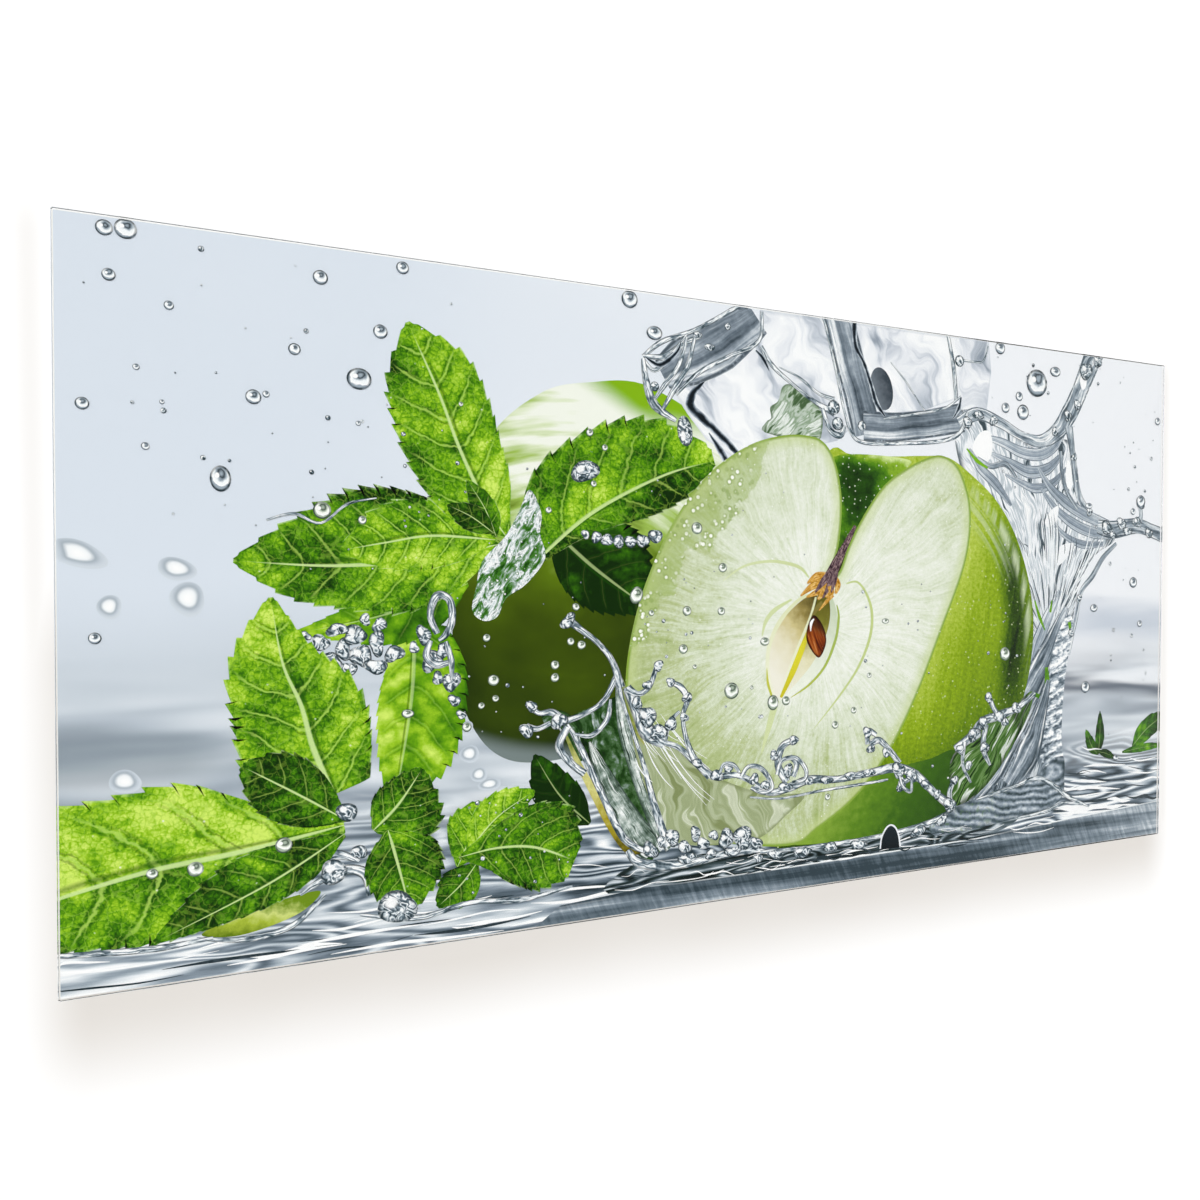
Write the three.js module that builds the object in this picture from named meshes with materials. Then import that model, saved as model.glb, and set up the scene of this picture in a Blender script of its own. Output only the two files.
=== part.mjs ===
// A frameless glass wall panel with a print behind the glass.
// It lies on its back: the picture faces +Z, its top edge is at +Y and its right edge at +X.
// Millimetres. The origin is the middle of the back face.
import * as THREE from "three";

// Driving dimensions
const WIDTH = 1000; // the pane, edge to edge along X
const HEIGHT = 500; // the pane, edge to edge along Y
const GLASS_THICKNESS = 4; // low-iron safety glass
const PRINT_THICKNESS = 0.5; // printed film with its white cover layer, bonded to the back of the glass
const ARRIS = 0.5; // the small ground bevel on every edge of the glass
const CORNER_RADIUS = 1.5; // the corners of the glass are only dubbed
const ARC_STEPS = 3; // a corner is drawn with twice as many straight steps

// A rectangle centred on the origin, with its corners rounded by arcs.
function roundedRectangle(width, height, radius) {
  const x = width / 2;
  const y = height / 2;
  const outline = new THREE.Shape();
  outline.moveTo(-x + radius, -y);
  outline.lineTo(x - radius, -y);
  outline.absarc(x - radius, -y + radius, radius, -Math.PI / 2, 0, false);
  outline.lineTo(x, y - radius);
  outline.absarc(x - radius, y - radius, radius, 0, Math.PI / 2, false);
  outline.lineTo(-x + radius, y);
  outline.absarc(-x + radius, y - radius, radius, Math.PI / 2, Math.PI, false);
  outline.lineTo(-x, -y + radius);
  outline.absarc(-x + radius, -y + radius, radius, Math.PI, 1.5 * Math.PI, false);
  return outline;
}

// The flat face that is left inside the bevels, which the print covers.
const faceOutline = () =>
  roundedRectangle(WIDTH - 2 * ARRIS, HEIGHT - 2 * ARRIS, CORNER_RADIUS - ARRIS);

// The printed layer: a flat sheet whose underside is the back of the panel.
function makePrintLayer() {
  const geometry = new THREE.ExtrudeGeometry(faceOutline(), {
    depth: PRINT_THICKNESS,
    bevelEnabled: false,
    curveSegments: ARC_STEPS,
  });
  const ink = new THREE.MeshStandardMaterial({ color: 0xc9dca0, roughness: 0.6, metalness: 0 });
  const sheet = new THREE.Mesh(geometry, ink);
  sheet.name = "print_layer";
  return sheet;
}

// The glass: the face outline grows by the arris on its way to the edge, and shrinks back at the front.
function makeGlass() {
  const geometry = new THREE.ExtrudeGeometry(faceOutline(), {
    depth: GLASS_THICKNESS - 2 * ARRIS,
    bevelEnabled: true,
    bevelThickness: ARRIS,
    bevelSize: ARRIS,
    bevelSegments: 1,
    curveSegments: ARC_STEPS,
  });
  geometry.translate(0, 0, ARRIS); // the bevel starts below the extrusion's own zero
  const clear = new THREE.MeshStandardMaterial({
    color: 0xf4f8f7,
    roughness: 0.02,
    metalness: 0,
    transparent: true,
    opacity: 0.25,
  });
  const pane = new THREE.Mesh(geometry, clear);
  pane.name = "glass_pane";
  pane.position.z = PRINT_THICKNESS;
  return pane;
}

const panel = new THREE.Group();
panel.add(makePrintLayer(), makeGlass());

export default panel;
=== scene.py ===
"""The looks of a frameless printed glass wall panel that lies on its back, picture up.

The picture behind the glass is painted as flat layers of simple shapes on a white cover. Each shape's
outline is mesh, and its colours come from a node material. Places in the picture are given in units of
a hundredth of the panel's height, from the picture's lower left corner: x runs 0 to 200, y 0 to 100.
"""
import math
import bpy
import numpy as np
from mathutils import Matrix, Vector
from mathutils.geometry import delaunay_2d_cdt


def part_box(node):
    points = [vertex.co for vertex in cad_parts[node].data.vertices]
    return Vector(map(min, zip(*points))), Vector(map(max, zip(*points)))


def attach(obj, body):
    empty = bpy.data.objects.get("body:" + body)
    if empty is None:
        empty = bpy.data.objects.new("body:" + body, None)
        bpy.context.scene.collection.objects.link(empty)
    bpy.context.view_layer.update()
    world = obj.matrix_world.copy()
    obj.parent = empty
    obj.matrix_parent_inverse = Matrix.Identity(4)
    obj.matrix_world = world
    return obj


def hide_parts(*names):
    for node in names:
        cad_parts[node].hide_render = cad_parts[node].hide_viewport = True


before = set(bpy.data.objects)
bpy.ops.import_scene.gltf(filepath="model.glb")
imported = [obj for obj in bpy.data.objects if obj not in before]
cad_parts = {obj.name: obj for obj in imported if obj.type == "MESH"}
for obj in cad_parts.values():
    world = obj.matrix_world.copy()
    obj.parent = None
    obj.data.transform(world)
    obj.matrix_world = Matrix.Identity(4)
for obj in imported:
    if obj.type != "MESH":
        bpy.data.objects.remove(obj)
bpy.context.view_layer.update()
pane_low, pane_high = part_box("glass_pane")
sheet_low, sheet_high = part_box("print_layer")

# ---------------------------------------------------------------------------------------------------
# Sizes, in metres
# ---------------------------------------------------------------------------------------------------
UNIT = (pane_high.y - pane_low.y) / 100  # one unit of the picture
CORNER = Vector((pane_low.x, pane_low.y, 0.0))  # the picture's lower left corner
COVER_TOP = sheet_low.z + 0.00010  # the white cover layer lies under this
LAYER_STEP = 0.00002  # from each painted layer to the next
ARRIS = 0.0005  # the bevel of the glass
BLEED = 0.15  # how far the picture stops short of the pane's edge, in units
PLACE_X = (0.9957, -0.0089, 0.764)  # the print sits a little askew: its share of x and of y, and its offset
PLACE_Y = (0.9974, 0.347)


def rgb(code):
    """A colour code such as "8DB600" as the linear red, green, blue and alpha that sockets take."""
    parts = [int(code[i : i + 2], 16) / 255 for i in (0, 2, 4)]
    linear = [c / 12.92 if c <= 0.04045 else ((c + 0.055) / 1.055) ** 2.4 for c in parts]
    return (*linear, 1.0)


# ---------------------------------------------------------------------------------------------------
# Materials: values that build nodes by arithmetic
# ---------------------------------------------------------------------------------------------------
def plug(target, value):
    """Links a value to a socket, or sets the socket to a plain number."""
    if isinstance(value, Value):
        value.tree.links.new(value.socket, target)
    else:
        target.default_value = value


class Value:
    """A number, vector or colour on its way through a material. Arithmetic on it adds nodes."""

    def __init__(self, tree, socket):
        self.tree = tree
        self.socket = socket

    def math(self, operation, *others):
        node = self.tree.nodes.new("ShaderNodeMath")
        node.operation = operation
        for target, value in zip(node.inputs, (self, *others)):
            plug(target, value)
        return Value(self.tree, node.outputs[0])

    def __add__(self, other):
        return self.math("ADD", other)

    def __sub__(self, other):
        return self.math("SUBTRACT", other)

    def __mul__(self, other):
        return self.math("MULTIPLY", other)

    def __truediv__(self, other):
        return self.math("DIVIDE", other)

    def __neg__(self):
        return self.math("MULTIPLY", -1.0)

    def __rsub__(self, other):
        return (-self) + other

    __radd__ = __add__
    __rmul__ = __mul__

    def size(self):
        return self.math("ABSOLUTE")

    def part(self):
        return self.math("FRACT")

    def wave(self):
        """The sine of the value in turns, from 0 to 1."""
        return (self * (2 * math.pi)).math("SINE") * 0.5 + 0.5

    def most(self, other):
        return self.math("MAXIMUM", other)

    def step(self, start, end):
        """0 at start and 1 at end, smooth between them. start may be the larger."""
        node = self.tree.nodes.new("ShaderNodeMapRange")
        node.interpolation_type = "SMOOTHSTEP"
        plug(node.inputs["Value"], self)
        node.inputs["From Min"].default_value = start
        node.inputs["From Max"].default_value = end
        return Value(self.tree, node.outputs[0])

    def ramp(self, *stops):
        """Colours along the value: each stop is (place, colour code)."""
        node = self.tree.nodes.new("ShaderNodeValToRGB")
        plug(node.inputs[0], self)
        elements = node.color_ramp.elements
        while len(elements) < len(stops):
            elements.new(0.5)
        for element, (place, code) in zip(elements, stops):
            element.position = place
            element.color = rgb(code)
        return Value(self.tree, node.outputs[0])


class Paint:
    """A material under construction: where its values come from, and the shader they end in."""

    def __init__(self, name):
        self.material = bpy.data.materials.new(name)
        self.material.use_nodes = True
        self.tree = self.material.node_tree
        self.tree.nodes.clear()

    def coordinates(self, map_name=None):
        """x and y: places in the picture in units, or a piece's own map."""
        if map_name:
            node = self.tree.nodes.new("ShaderNodeUVMap")
            node.uv_map = map_name
            parts = self.split(Value(self.tree, node.outputs[0]))
            return parts[0], parts[1]
        node = self.tree.nodes.new("ShaderNodeTexCoord")
        parts = self.split(Value(self.tree, node.outputs["Object"]))
        across = (parts[0] - CORNER.x) / UNIT
        up = (parts[1] - CORNER.y) / UNIT
        y = (up - PLACE_Y[1]) / PLACE_Y[0]
        return (across - PLACE_X[2] - y * PLACE_X[1]) / PLACE_X[0], y

    def split(self, vector):
        """The x, y and z of a vector."""
        node = self.tree.nodes.new("ShaderNodeSeparateXYZ")
        plug(node.inputs[0], vector)
        return [Value(self.tree, out) for out in node.outputs]

    def join(self, x, y=0.0, z=0.0):
        """A vector from its x, y and z."""
        node = self.tree.nodes.new("ShaderNodeCombineXYZ")
        for target, value in zip(node.inputs, (x, y, z)):
            plug(target, value)
        return Value(self.tree, node.outputs[0])

    def attribute(self, name):
        """A number that a piece's mesh carries at its points."""
        node = self.tree.nodes.new("ShaderNodeAttribute")
        node.attribute_name = name
        return Value(self.tree, node.outputs["Fac"])

    def noise(self, vector, scale=1.0, detail=2.0, roughness=0.5, distortion=0.0):
        """Soft noise about 0.5, with one feature to a unit at scale 1."""
        node = self.tree.nodes.new("ShaderNodeTexNoise")
        plug(node.inputs["Vector"], vector)
        node.inputs["Scale"].default_value = scale
        node.inputs["Detail"].default_value = detail
        node.inputs["Roughness"].default_value = roughness
        node.inputs["Distortion"].default_value = distortion
        return Value(self.tree, node.outputs["Fac"])

    def cells(self, vector, scale=1.0, feature="F1"):
        node = self.tree.nodes.new("ShaderNodeTexVoronoi")
        node.feature = feature
        plug(node.inputs["Vector"], vector)
        node.inputs["Scale"].default_value = scale
        return Value(self.tree, node.outputs["Distance"])

    def mix(self, first, second, share):
        """From the first colour to the second. A plain colour is its code."""
        node = self.tree.nodes.new("ShaderNodeMix")
        node.data_type = "RGBA"
        plug(node.inputs[0], share)
        for target, colour in ((node.inputs[6], first), (node.inputs[7], second)):
            plug(target, colour if isinstance(colour, Value) else rgb(colour))
        return Value(self.tree, node.outputs[2])

    def finish(self, colour, roughness=0.55):
        """The ink's shader: matt, as the gloss is the glass in front of it."""
        shader = self.tree.nodes.new("ShaderNodeBsdfPrincipled")
        plug(shader.inputs["Base Color"], colour)
        shader.inputs["Roughness"].default_value = roughness
        shader.inputs["Specular IOR Level"].default_value = 0.0
        out = self.tree.nodes.new("ShaderNodeOutputMaterial")
        self.tree.links.new(shader.outputs[0], out.inputs["Surface"])
        return self.material


# ---------------------------------------------------------------------------------------------------
# Shapes
# ---------------------------------------------------------------------------------------------------
def smooth_line(points, closed=False, steps=8):
    """A smooth line through a few points."""
    points = np.array(points, float)
    count = len(points)
    spans = count if closed else count - 1
    line = []
    for i in range(spans):
        if closed:
            p0, p1, p2, p3 = (points[(i + k) % count] for k in (-1, 0, 1, 2))
        else:
            p0, p1 = points[max(i - 1, 0)], points[i]
            p2, p3 = points[i + 1], points[min(i + 2, count - 1)]
        for t in np.arange(steps) / steps:
            line.append(
                0.5
                * (
                    2 * p1
                    + (p2 - p0) * t
                    + (2 * p0 - 5 * p1 + 4 * p2 - p3) * t**2
                    + (3 * p1 - p0 - 3 * p2 + p3) * t**3
                )
            )
    if not closed:
        line.append(points[-1])
    return np.array(line)


def edge_distance(points, outline):
    """How far each point lies from a closed outline."""
    starts = outline
    ways = np.roll(outline, -1, axis=0) - outline
    lengths = np.maximum((ways**2).sum(1), 1e-12)
    best = np.full(len(points), np.inf)
    for start, way, length in zip(starts, ways, lengths):
        along = np.clip(((points - start) @ way) / length, 0, 1)
        gap = points - start - along[:, None] * way
        best = np.minimum(best, (gap**2).sum(1))
    return np.sqrt(best)


def placed(points):
    """Where places in the picture are on the panel, in units from its lower left corner."""
    x, y = points[:, 0], points[:, 1]
    return np.stack([x * PLACE_X[0] + y * PLACE_X[1] + PLACE_X[2], y * PLACE_Y[0] + PLACE_Y[1]], axis=1)


def clipped(points):
    """Keeps places inside the panel, whose edge cuts what runs past it."""
    width = (pane_high.x - pane_low.x) / UNIT
    high = (pane_high.y - pane_low.y) / UNIT
    limits = np.array([width - BLEED, high - BLEED])
    return np.minimum(np.maximum(points, BLEED), limits)


def face_area(corners):
    """The area of a flat polygon."""
    x, y = corners[:, 0], corners[:, 1]
    return abs(np.dot(x, np.roll(y, -1)) - np.dot(y, np.roll(x, -1))) / 2


def add_piece(name, points, faces, layer, material, maps=None, attributes=None, lifts=0.0):
    """A flat piece of the picture on its layer, riding on the panel. lifts are shares of a layer."""
    points = clipped(placed(np.asarray(points, float)))
    faces = [face for face in faces if face_area(points[list(face)]) > 1e-7]
    mesh = bpy.data.meshes.new(name)
    levels = np.broadcast_to(COVER_TOP + LAYER_STEP * (layer + np.asarray(lifts)), len(points))
    places = [(CORNER.x + x * UNIT, CORNER.y + y * UNIT, z) for (x, y), z in zip(points, levels)]
    mesh.from_pydata(places, [], [list(map(int, face)) for face in faces])
    loops = np.empty(len(mesh.loops), np.int32)
    mesh.loops.foreach_get("vertex_index", loops)
    for map_name, values in (maps or {}).items():
        uv = mesh.uv_layers.new(name=map_name)
        uv.data.foreach_set("uv", np.asarray(values, np.float32)[loops].ravel())
    for attribute, values in (attributes or {}).items():
        made = mesh.attributes.new(attribute, "FLOAT", "POINT")
        made.data.foreach_set("value", np.asarray(values, np.float32))
    face_up(mesh)
    piece = bpy.data.objects.new(name, mesh)
    bpy.context.scene.collection.objects.link(piece)
    mesh.materials.append(material)
    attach(piece, "root")
    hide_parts("print_layer")
    return piece


def face_up(mesh):
    """Turns every face of a flat mesh to look out of the panel's front."""
    mesh.update()
    normals = np.empty(len(mesh.polygons) * 3, np.float32)
    mesh.polygons.foreach_get("normal", normals)
    down = np.flatnonzero(normals.reshape(-1, 3)[:, 2] < 0)
    for i in down:
        mesh.polygons[int(i)].flip()
    mesh.update()


def fill(name, outline, layer, material, cell=2.5, soft=4.0):
    """Fills a closed outline. Its edge attribute grows from 0 at the outline to 1 at soft units inside."""
    outline = np.asarray(outline, float)
    low, high = outline.min(0), outline.max(0)
    xs = np.arange(low[0] + cell / 2, high[0], cell)
    ys = np.arange(low[1] + cell / 2, high[1], cell)
    grid = np.array([(x, y) for x in xs for y in ys]).reshape(-1, 2)
    if len(grid):
        grid = grid[edge_distance(grid, outline) > cell * 0.4]
    corners = [Vector(p) for p in np.vstack([outline, grid])]
    count = len(outline)
    edges = [(i, (i + 1) % count) for i in range(count)]
    made = delaunay_2d_cdt(corners, edges, [list(range(count))], 1, 1e-6)
    points = np.array([tuple(p) for p in made[0]])
    edge = np.clip(edge_distance(points, outline) / soft, 0, 1)
    return add_piece(name, points, made[2], layer, material, attributes={"edge": edge})


def form_strip(spine, half_widths):
    """Points, faces and map of a strip along a line: u is its length in units, v runs -1 to 1 across."""
    ways = np.gradient(spine, axis=0)
    ways /= np.maximum(np.linalg.norm(ways, axis=1), 1e-9)[:, None]
    across = np.stack([-ways[:, 1], ways[:, 0]], axis=1)
    along = np.r_[0, np.cumsum(np.linalg.norm(np.diff(spine, axis=0), axis=1))]
    lanes = np.array([-1.0, -0.5, 0.0, 0.5, 1.0])
    points = (spine[:, None] + across[:, None] * (lanes[:, None] * half_widths[:, None, None])).reshape(-1, 2)
    maps = np.stack(np.broadcast_arrays(along[:, None], lanes[None]), axis=2).reshape(-1, 2)
    wide = len(lanes)
    faces = [
        (i * wide + j, i * wide + j + 1, (i + 1) * wide + j + 1, (i + 1) * wide + j)
        for i in range(len(spine) - 1)
        for j in range(wide - 1)
    ]
    return points, faces, maps


def joined(parts):
    """Several shapes of points, faces and map as one. Each also gets a share of a layer as its lift."""
    points, faces, maps, lifts, start = [], [], [], [], 0
    for order, (some_points, some_faces, some_maps) in enumerate(parts):
        points.append(some_points)
        maps.append(some_maps)
        faces += [tuple(i + start for i in face) for face in some_faces]
        lifts.append(np.full(len(some_points), 0.9 * order / len(parts)))
        start += len(some_points)
    return np.vstack(points), faces, np.vstack(maps), np.concatenate(lifts)


def taper(values, at):
    """Values given at even steps, read smoothly anywhere between."""
    line = smooth_line([(i, value) for i, value in enumerate(values)], steps=10)
    return np.interp(np.asarray(at) * (len(values) - 1), line[:, 0], line[:, 1])


def strip(places, widths, steps=6):
    """A strip through a few places, whose full width at each is given."""
    spine = smooth_line(places, steps=steps)
    at = np.linspace(0, len(places) - 1, len(spine))
    half = np.interp(at, np.arange(len(places)), np.array(widths, float) / 2)
    return form_strip(spine, np.maximum(half, 0.02))


def strips(name, layer, material, *lines):
    """Strips as one piece. Each line is (places, widths)."""
    points, faces, maps, lifts = joined([strip(places, widths) for places, widths in lines])
    return add_piece(name, points, faces, layer, material, maps={"form": maps}, lifts=lifts)


def disc(x, y, radius, squash=1.0, turn=0.0, uneven=0.0, sides=24):
    """A round or oval disc whose map runs from -1 to 1 each way. uneven makes its outline less regular."""
    angles = np.arange(sides) * (2 * math.pi / sides)
    ring = np.stack([np.cos(angles), np.sin(angles)], axis=1)
    unit = np.vstack([[0, 0], ring])
    wave = np.sin(2 * angles + 5.1 * x + 2.3 * y) + 0.8 * np.sin(3 * angles + 3.7 * x - 4.1 * y)
    bump = np.r_[0, 1 + uneven * wave]
    shape = unit * bump[:, None] * [radius, radius * squash]
    c, s = math.cos(math.radians(turn)), math.sin(math.radians(turn))
    points = shape @ np.array([[c, s], [-s, c]]) + [x, y]
    faces = [(0, 1 + i, 1 + (i + 1) % sides) for i in range(sides)]
    return points, faces, unit


def discs(name, layer, material, places, uneven=0.0):
    """Discs as one piece. Each place is (x, y, radius) and may add squash and turn."""
    shapes = [disc(*(tuple(place) + (1.0, 0.0)[len(place) - 3 :])[:5], uneven=uneven) for place in places]
    points, faces, maps, lifts = joined(shapes)
    return add_piece(name, points, faces, layer, material, maps={"form": maps}, lifts=lifts)


def scattered_lines(name, layer, material, low, high, count, length, width, seed, tilt=0.0):
    """Many thin strokes between two corners, closer together towards the bottom."""
    chance = np.random.default_rng(seed)
    lines = []
    for _ in range(count):
        depth = chance.uniform() ** 1.6
        x, y = chance.uniform(low[0], high[0]), low[1] + (high[1] - low[1]) * depth
        reach = chance.uniform(0.35, 1.0) * (1 - 0.5 * depth) * length / 2
        thick = chance.uniform(0.4, 1.0) * width * (1 - 0.4 * depth)
        sway = chance.uniform(-0.5, 0.5, 4)
        places = [(x + reach * k, y + tilt * reach * k + sway[i]) for i, k in enumerate((-1, -0.35, 0.35, 1))]
        lines.append((places, [0.05, thick, thick * 0.8, 0.05]))
    return strips(name, layer, material, *lines)


def fan_lines(name, layer, material, source, turns, starts, ends, count, width, seed, curl=0.0):
    """Many thin strokes that fan out from a point, between two bearings in degrees and two distances."""
    chance = np.random.default_rng(seed)
    lines = []
    for _ in range(count):
        bearing = math.radians(chance.uniform(*turns))
        start, end = chance.uniform(*starts), chance.uniform(*ends)
        thick = chance.uniform(0.4, 1.0) * width
        bow = math.radians(curl * chance.uniform(0.4, 1.0))
        places = []
        for k in (0.0, 0.35, 0.7, 1.0):
            away = start + (end - start) * k
            angle = bearing + bow * k * k
            places.append((source[0] + away * math.cos(angle), source[1] + away * math.sin(angle)))
        lines.append((places, [0.05, thick, thick * 0.7, 0.05]))
    return strips(name, layer, material, *lines)


def leaf(name, layer, rib, left, right, teeth=13, veins=6, tone=0.6, fold=0.0, slope=0.9, material=None):
    """A mint leaf along its midrib, from base to tip, as wide to its left and right as given at even steps.

    tone is how light it is, fold how much lighter its left half is than its right, veins the number of
    side veins on a side, and slope how far they run forward on their way to the edge.
    """
    per_tooth = 5
    t = np.arange(teeth * per_tooth + 1) / (teeth * per_tooth)
    spine = smooth_line(rib, steps=12)
    run = np.r_[0, np.cumsum(np.linalg.norm(np.diff(spine, axis=0), axis=1))]
    length = run[-1]
    spine = np.stack([np.interp(t * length, run, spine[:, k]) for k in (0, 1)], axis=1)
    ways = np.gradient(spine, axis=0)
    ways /= np.linalg.norm(ways, axis=1)[:, None]
    across = np.stack([-ways[:, 1], ways[:, 0]], axis=1)
    lanes = np.linspace(-1, 1, 13)
    saw = (t * teeth + 0.35) % 1.0
    tooth = saw**1.5
    points = np.empty((len(t), len(lanes), 2))
    veins_at = np.empty((len(t), len(lanes)))
    for j, lane in enumerate(lanes):
        reach = taper(left if lane > 0 else right, t)
        rim = abs(lane) ** 8
        wide = np.maximum(reach, 0.05) * (lane + np.sign(lane) * rim * 0.08 * (tooth - 0.5))
        ahead = rim * (0.10 * reach + 0.22) * tooth
        points[:, j] = spine + across * wide[:, None] + ways * ahead[:, None]
        veins_at[:, j] = (t - slope * reach * abs(lane) ** 1.25 / length) * veins
    maps = np.stack(np.broadcast_arrays(t[:, None], lanes[None]), axis=2).reshape(-1, 2)
    many = len(lanes)
    faces = [
        (i * many + j, i * many + j + 1, (i + 1) * many + j + 1, (i + 1) * many + j)
        for i in range(len(t) - 1)
        for j in range(many - 1)
    ]
    count = len(t) * many
    values = {"tone": np.full(count, tone), "fold": np.full(count, fold), "vein": veins_at.ravel()}
    return add_piece(name, points.reshape(-1, 2), faces, layer, material or leaf_ink, {"form": maps}, values)


# ---------------------------------------------------------------------------------------------------
# Inks
# ---------------------------------------------------------------------------------------------------
def make_backdrop_ink():
    """Pale sky over blurred water, with sharp bright and dark ripples along the bottom."""
    paint = Paint("ink_backdrop")
    x, y = paint.coordinates()
    soft = paint.noise(paint.join(x * 0.02, y * 0.03), 1.0, 1.0)
    sky = paint.mix("DBE3ED", "F3F5F9", (x * 0.0062 + soft * 0.5 - 0.3).step(0.0, 1.0))
    sky = paint.mix(sky, "C7D0D9", (y + soft * 14).step(62.0, 46.0) * x.step(150.0, 20.0) * 0.8)
    far = paint.noise(paint.join(x * 0.024, y * 0.17), 1.0, 2.0, 0.5, 0.3)
    sea = far.ramp((0.32, "7B8794"), (0.42, "A6B1BC"), (0.52, "CDD5DC"), (0.62, "EAEEF3"), (0.8, "F6F8FA"))
    picture = paint.mix(sky, sea, (y + soft * 12).step(54.0, 32.0) * 0.85)
    haze = (y - 45.5 + (far - 0.5) * 9.0).size().step(6.0, 0.5) * x.step(160.0, 186.0)
    picture = paint.mix(picture, "B6C1D0", haze * 0.7)
    band = (y - 33.0 + (x - 176.0) * 0.08 + (far - 0.5) * 9.0).size().step(3.4, 0.2) * x.step(163.0, 174.0)
    picture = paint.mix(picture, "4E5968", band * 0.85)
    left_band = (y - 29.5 + (far - 0.5) * 7.0).size().step(4.4, 0.8) * x.step(24.0, 12.0)
    picture = paint.mix(picture, "7E8B94", left_band * 0.6)
    tone = ripple_tone(paint, x, y) - (x - 110.0).size().step(62.0, 20.0) * y.step(12.0, 6.0) * 0.16
    tone = tone - 0.07 - x.step(176.0, 190.0) * y.step(8.0, 13.0) * 0.08
    tone = (tone - 0.42) * (0.68 + x.step(50.0, 84.0) * 0.32) + 0.44 + x.step(26.0, 4.0) * 0.20
    ripples = tone.ramp(
        (0.05, "2C3940"), (0.22, "5A6873"), (0.38, "8794A0"), (0.54, "B4BFC8"), (0.70, "E6EBEF"),
        (0.84, "FFFFFF")
    )
    picture = paint.mix(picture, ripples, (y + soft * 10).step(30.0, 18.0))
    return paint.finish(picture)


def ripple_tone(paint, x, y, bands=12.0):
    """Calm ripples seen from low down: long closed curves, one inside the other, and a finer chop."""
    bend = paint.noise(paint.join(x * 0.03, y * 0.12), 1.0, 2.0)
    field = paint.noise(paint.join(x * 0.020 + bend * 1.4, y * 0.13 + bend * 0.7), 1.0, 1.0, 0.5, 0.25)
    small = paint.noise(paint.join(x * 0.09, y * 0.85), 1.0, 3.0, 0.6)
    return (field * bands + bend).wave() * 0.60 + (small - 0.5) * 0.95 + 0.20


def make_pool_ink(name, *stops, bands=12.0, scale=1.0):
    """The surface of the water: colours of the ripples from the troughs to the glints."""
    paint = Paint(name)
    x, y = paint.coordinates()
    return paint.finish(ripple_tone(paint, x * scale, y * scale, bands).ramp(*stops))


def make_pool_front_ink():
    """The front of the water, seen steeply: even grey with fine upright marks and a bright upper edge."""
    paint = Paint("ink_pool_front")
    x, y = paint.coordinates()
    edge = paint.attribute("edge")
    soft = paint.noise(paint.join(x * 0.016, y * 0.42), 1.0, 3.0, 0.55, 0.3)
    fine = paint.noise(paint.join(x * 1.1 + y * 0.5, y * 0.16), 1.0, 3.0, 0.6)
    tone = soft + (fine - 0.5) * 0.30 + x.step(150.0, 196.0) * 0.10 + x.step(84.0, 66.0) * 0.03 - 0.03
    tone = tone - (x - 128.0).size().step(36.0, 14.0) * 0.06
    colour = tone.ramp(
        (0.34, "35434B"), (0.43, "56646E"), (0.52, "74828D"), (0.60, "98A4AE"), (0.70, "D3DAE0")
    )
    crest = edge.step(0.16, 0.05) * y.step(2.0, 3.0)
    return paint.finish(paint.mix(colour, "F6F9FA", crest * soft.step(0.40, 0.55)))


def make_skirt_ink():
    """The foot of the splash: folds of water that curl around it one inside the other."""
    paint = Paint("ink_skirt")
    x, y = paint.coordinates()
    edge = paint.attribute("edge")
    dx, dy = (x - 165.0) * 0.30, y - 15.5
    away = (dx * dx + dy * dy).math("SQRT")
    wobble = paint.noise(paint.join(x, y), 0.20, 3.0, 0.55)
    fine = paint.noise(paint.join(x, y), 0.9, 3.0, 0.6)
    rings = (away * 0.74 + wobble * 2.0).wave() * 0.48 + (fine - 0.5) * 0.8 + (wobble - 0.5) * 0.6 + 0.23
    colour = rings.ramp(
        (0.10, "2C3B3F"), (0.28, "56656E"), (0.48, "7E8C98"), (0.66, "A5B1BC"), (0.84, "DCE2E7"),
        (0.97, "FFFFFF")
    )
    green = fine.step(0.52, 0.66) * x.step(162.0, 150.0) * 0.6
    colour = paint.mix(colour, "4C6E33", green)
    return paint.finish(paint.mix(colour, "33434A", edge.step(0.35, 0.05) * 0.45))


def make_ladder_ink():
    """The right edge of the splash: short waves one above the other, white between grey."""
    paint = Paint("ink_ladder")
    x, y = paint.coordinates()
    wobble = paint.noise(paint.join(x * 0.30, y * 0.42), 1.0, 3.0, 0.6)
    fine = paint.noise(paint.join(x * 0.7, y * 1.9 - x * 0.5), 1.0, 3.0, 0.6)
    rows = (y * 0.46 - x * 0.22 + wobble * 2.8).wave() * 0.46
    rows = rows + (fine - 0.5) * 1.3 + (wobble - 0.5) * 1.2 + 0.30
    rows = rows - x.step(171.0, 167.0) * 0.16 + y.step(20.0, 38.0) * 0.06
    colour = rows.ramp(
        (0.10, "3D4B55"), (0.28, "6E7C87"), (0.46, "A1ADB7"), (0.64, "D3DAE0"), (0.80, "FFFFFF")
    )
    return paint.finish(colour)


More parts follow.
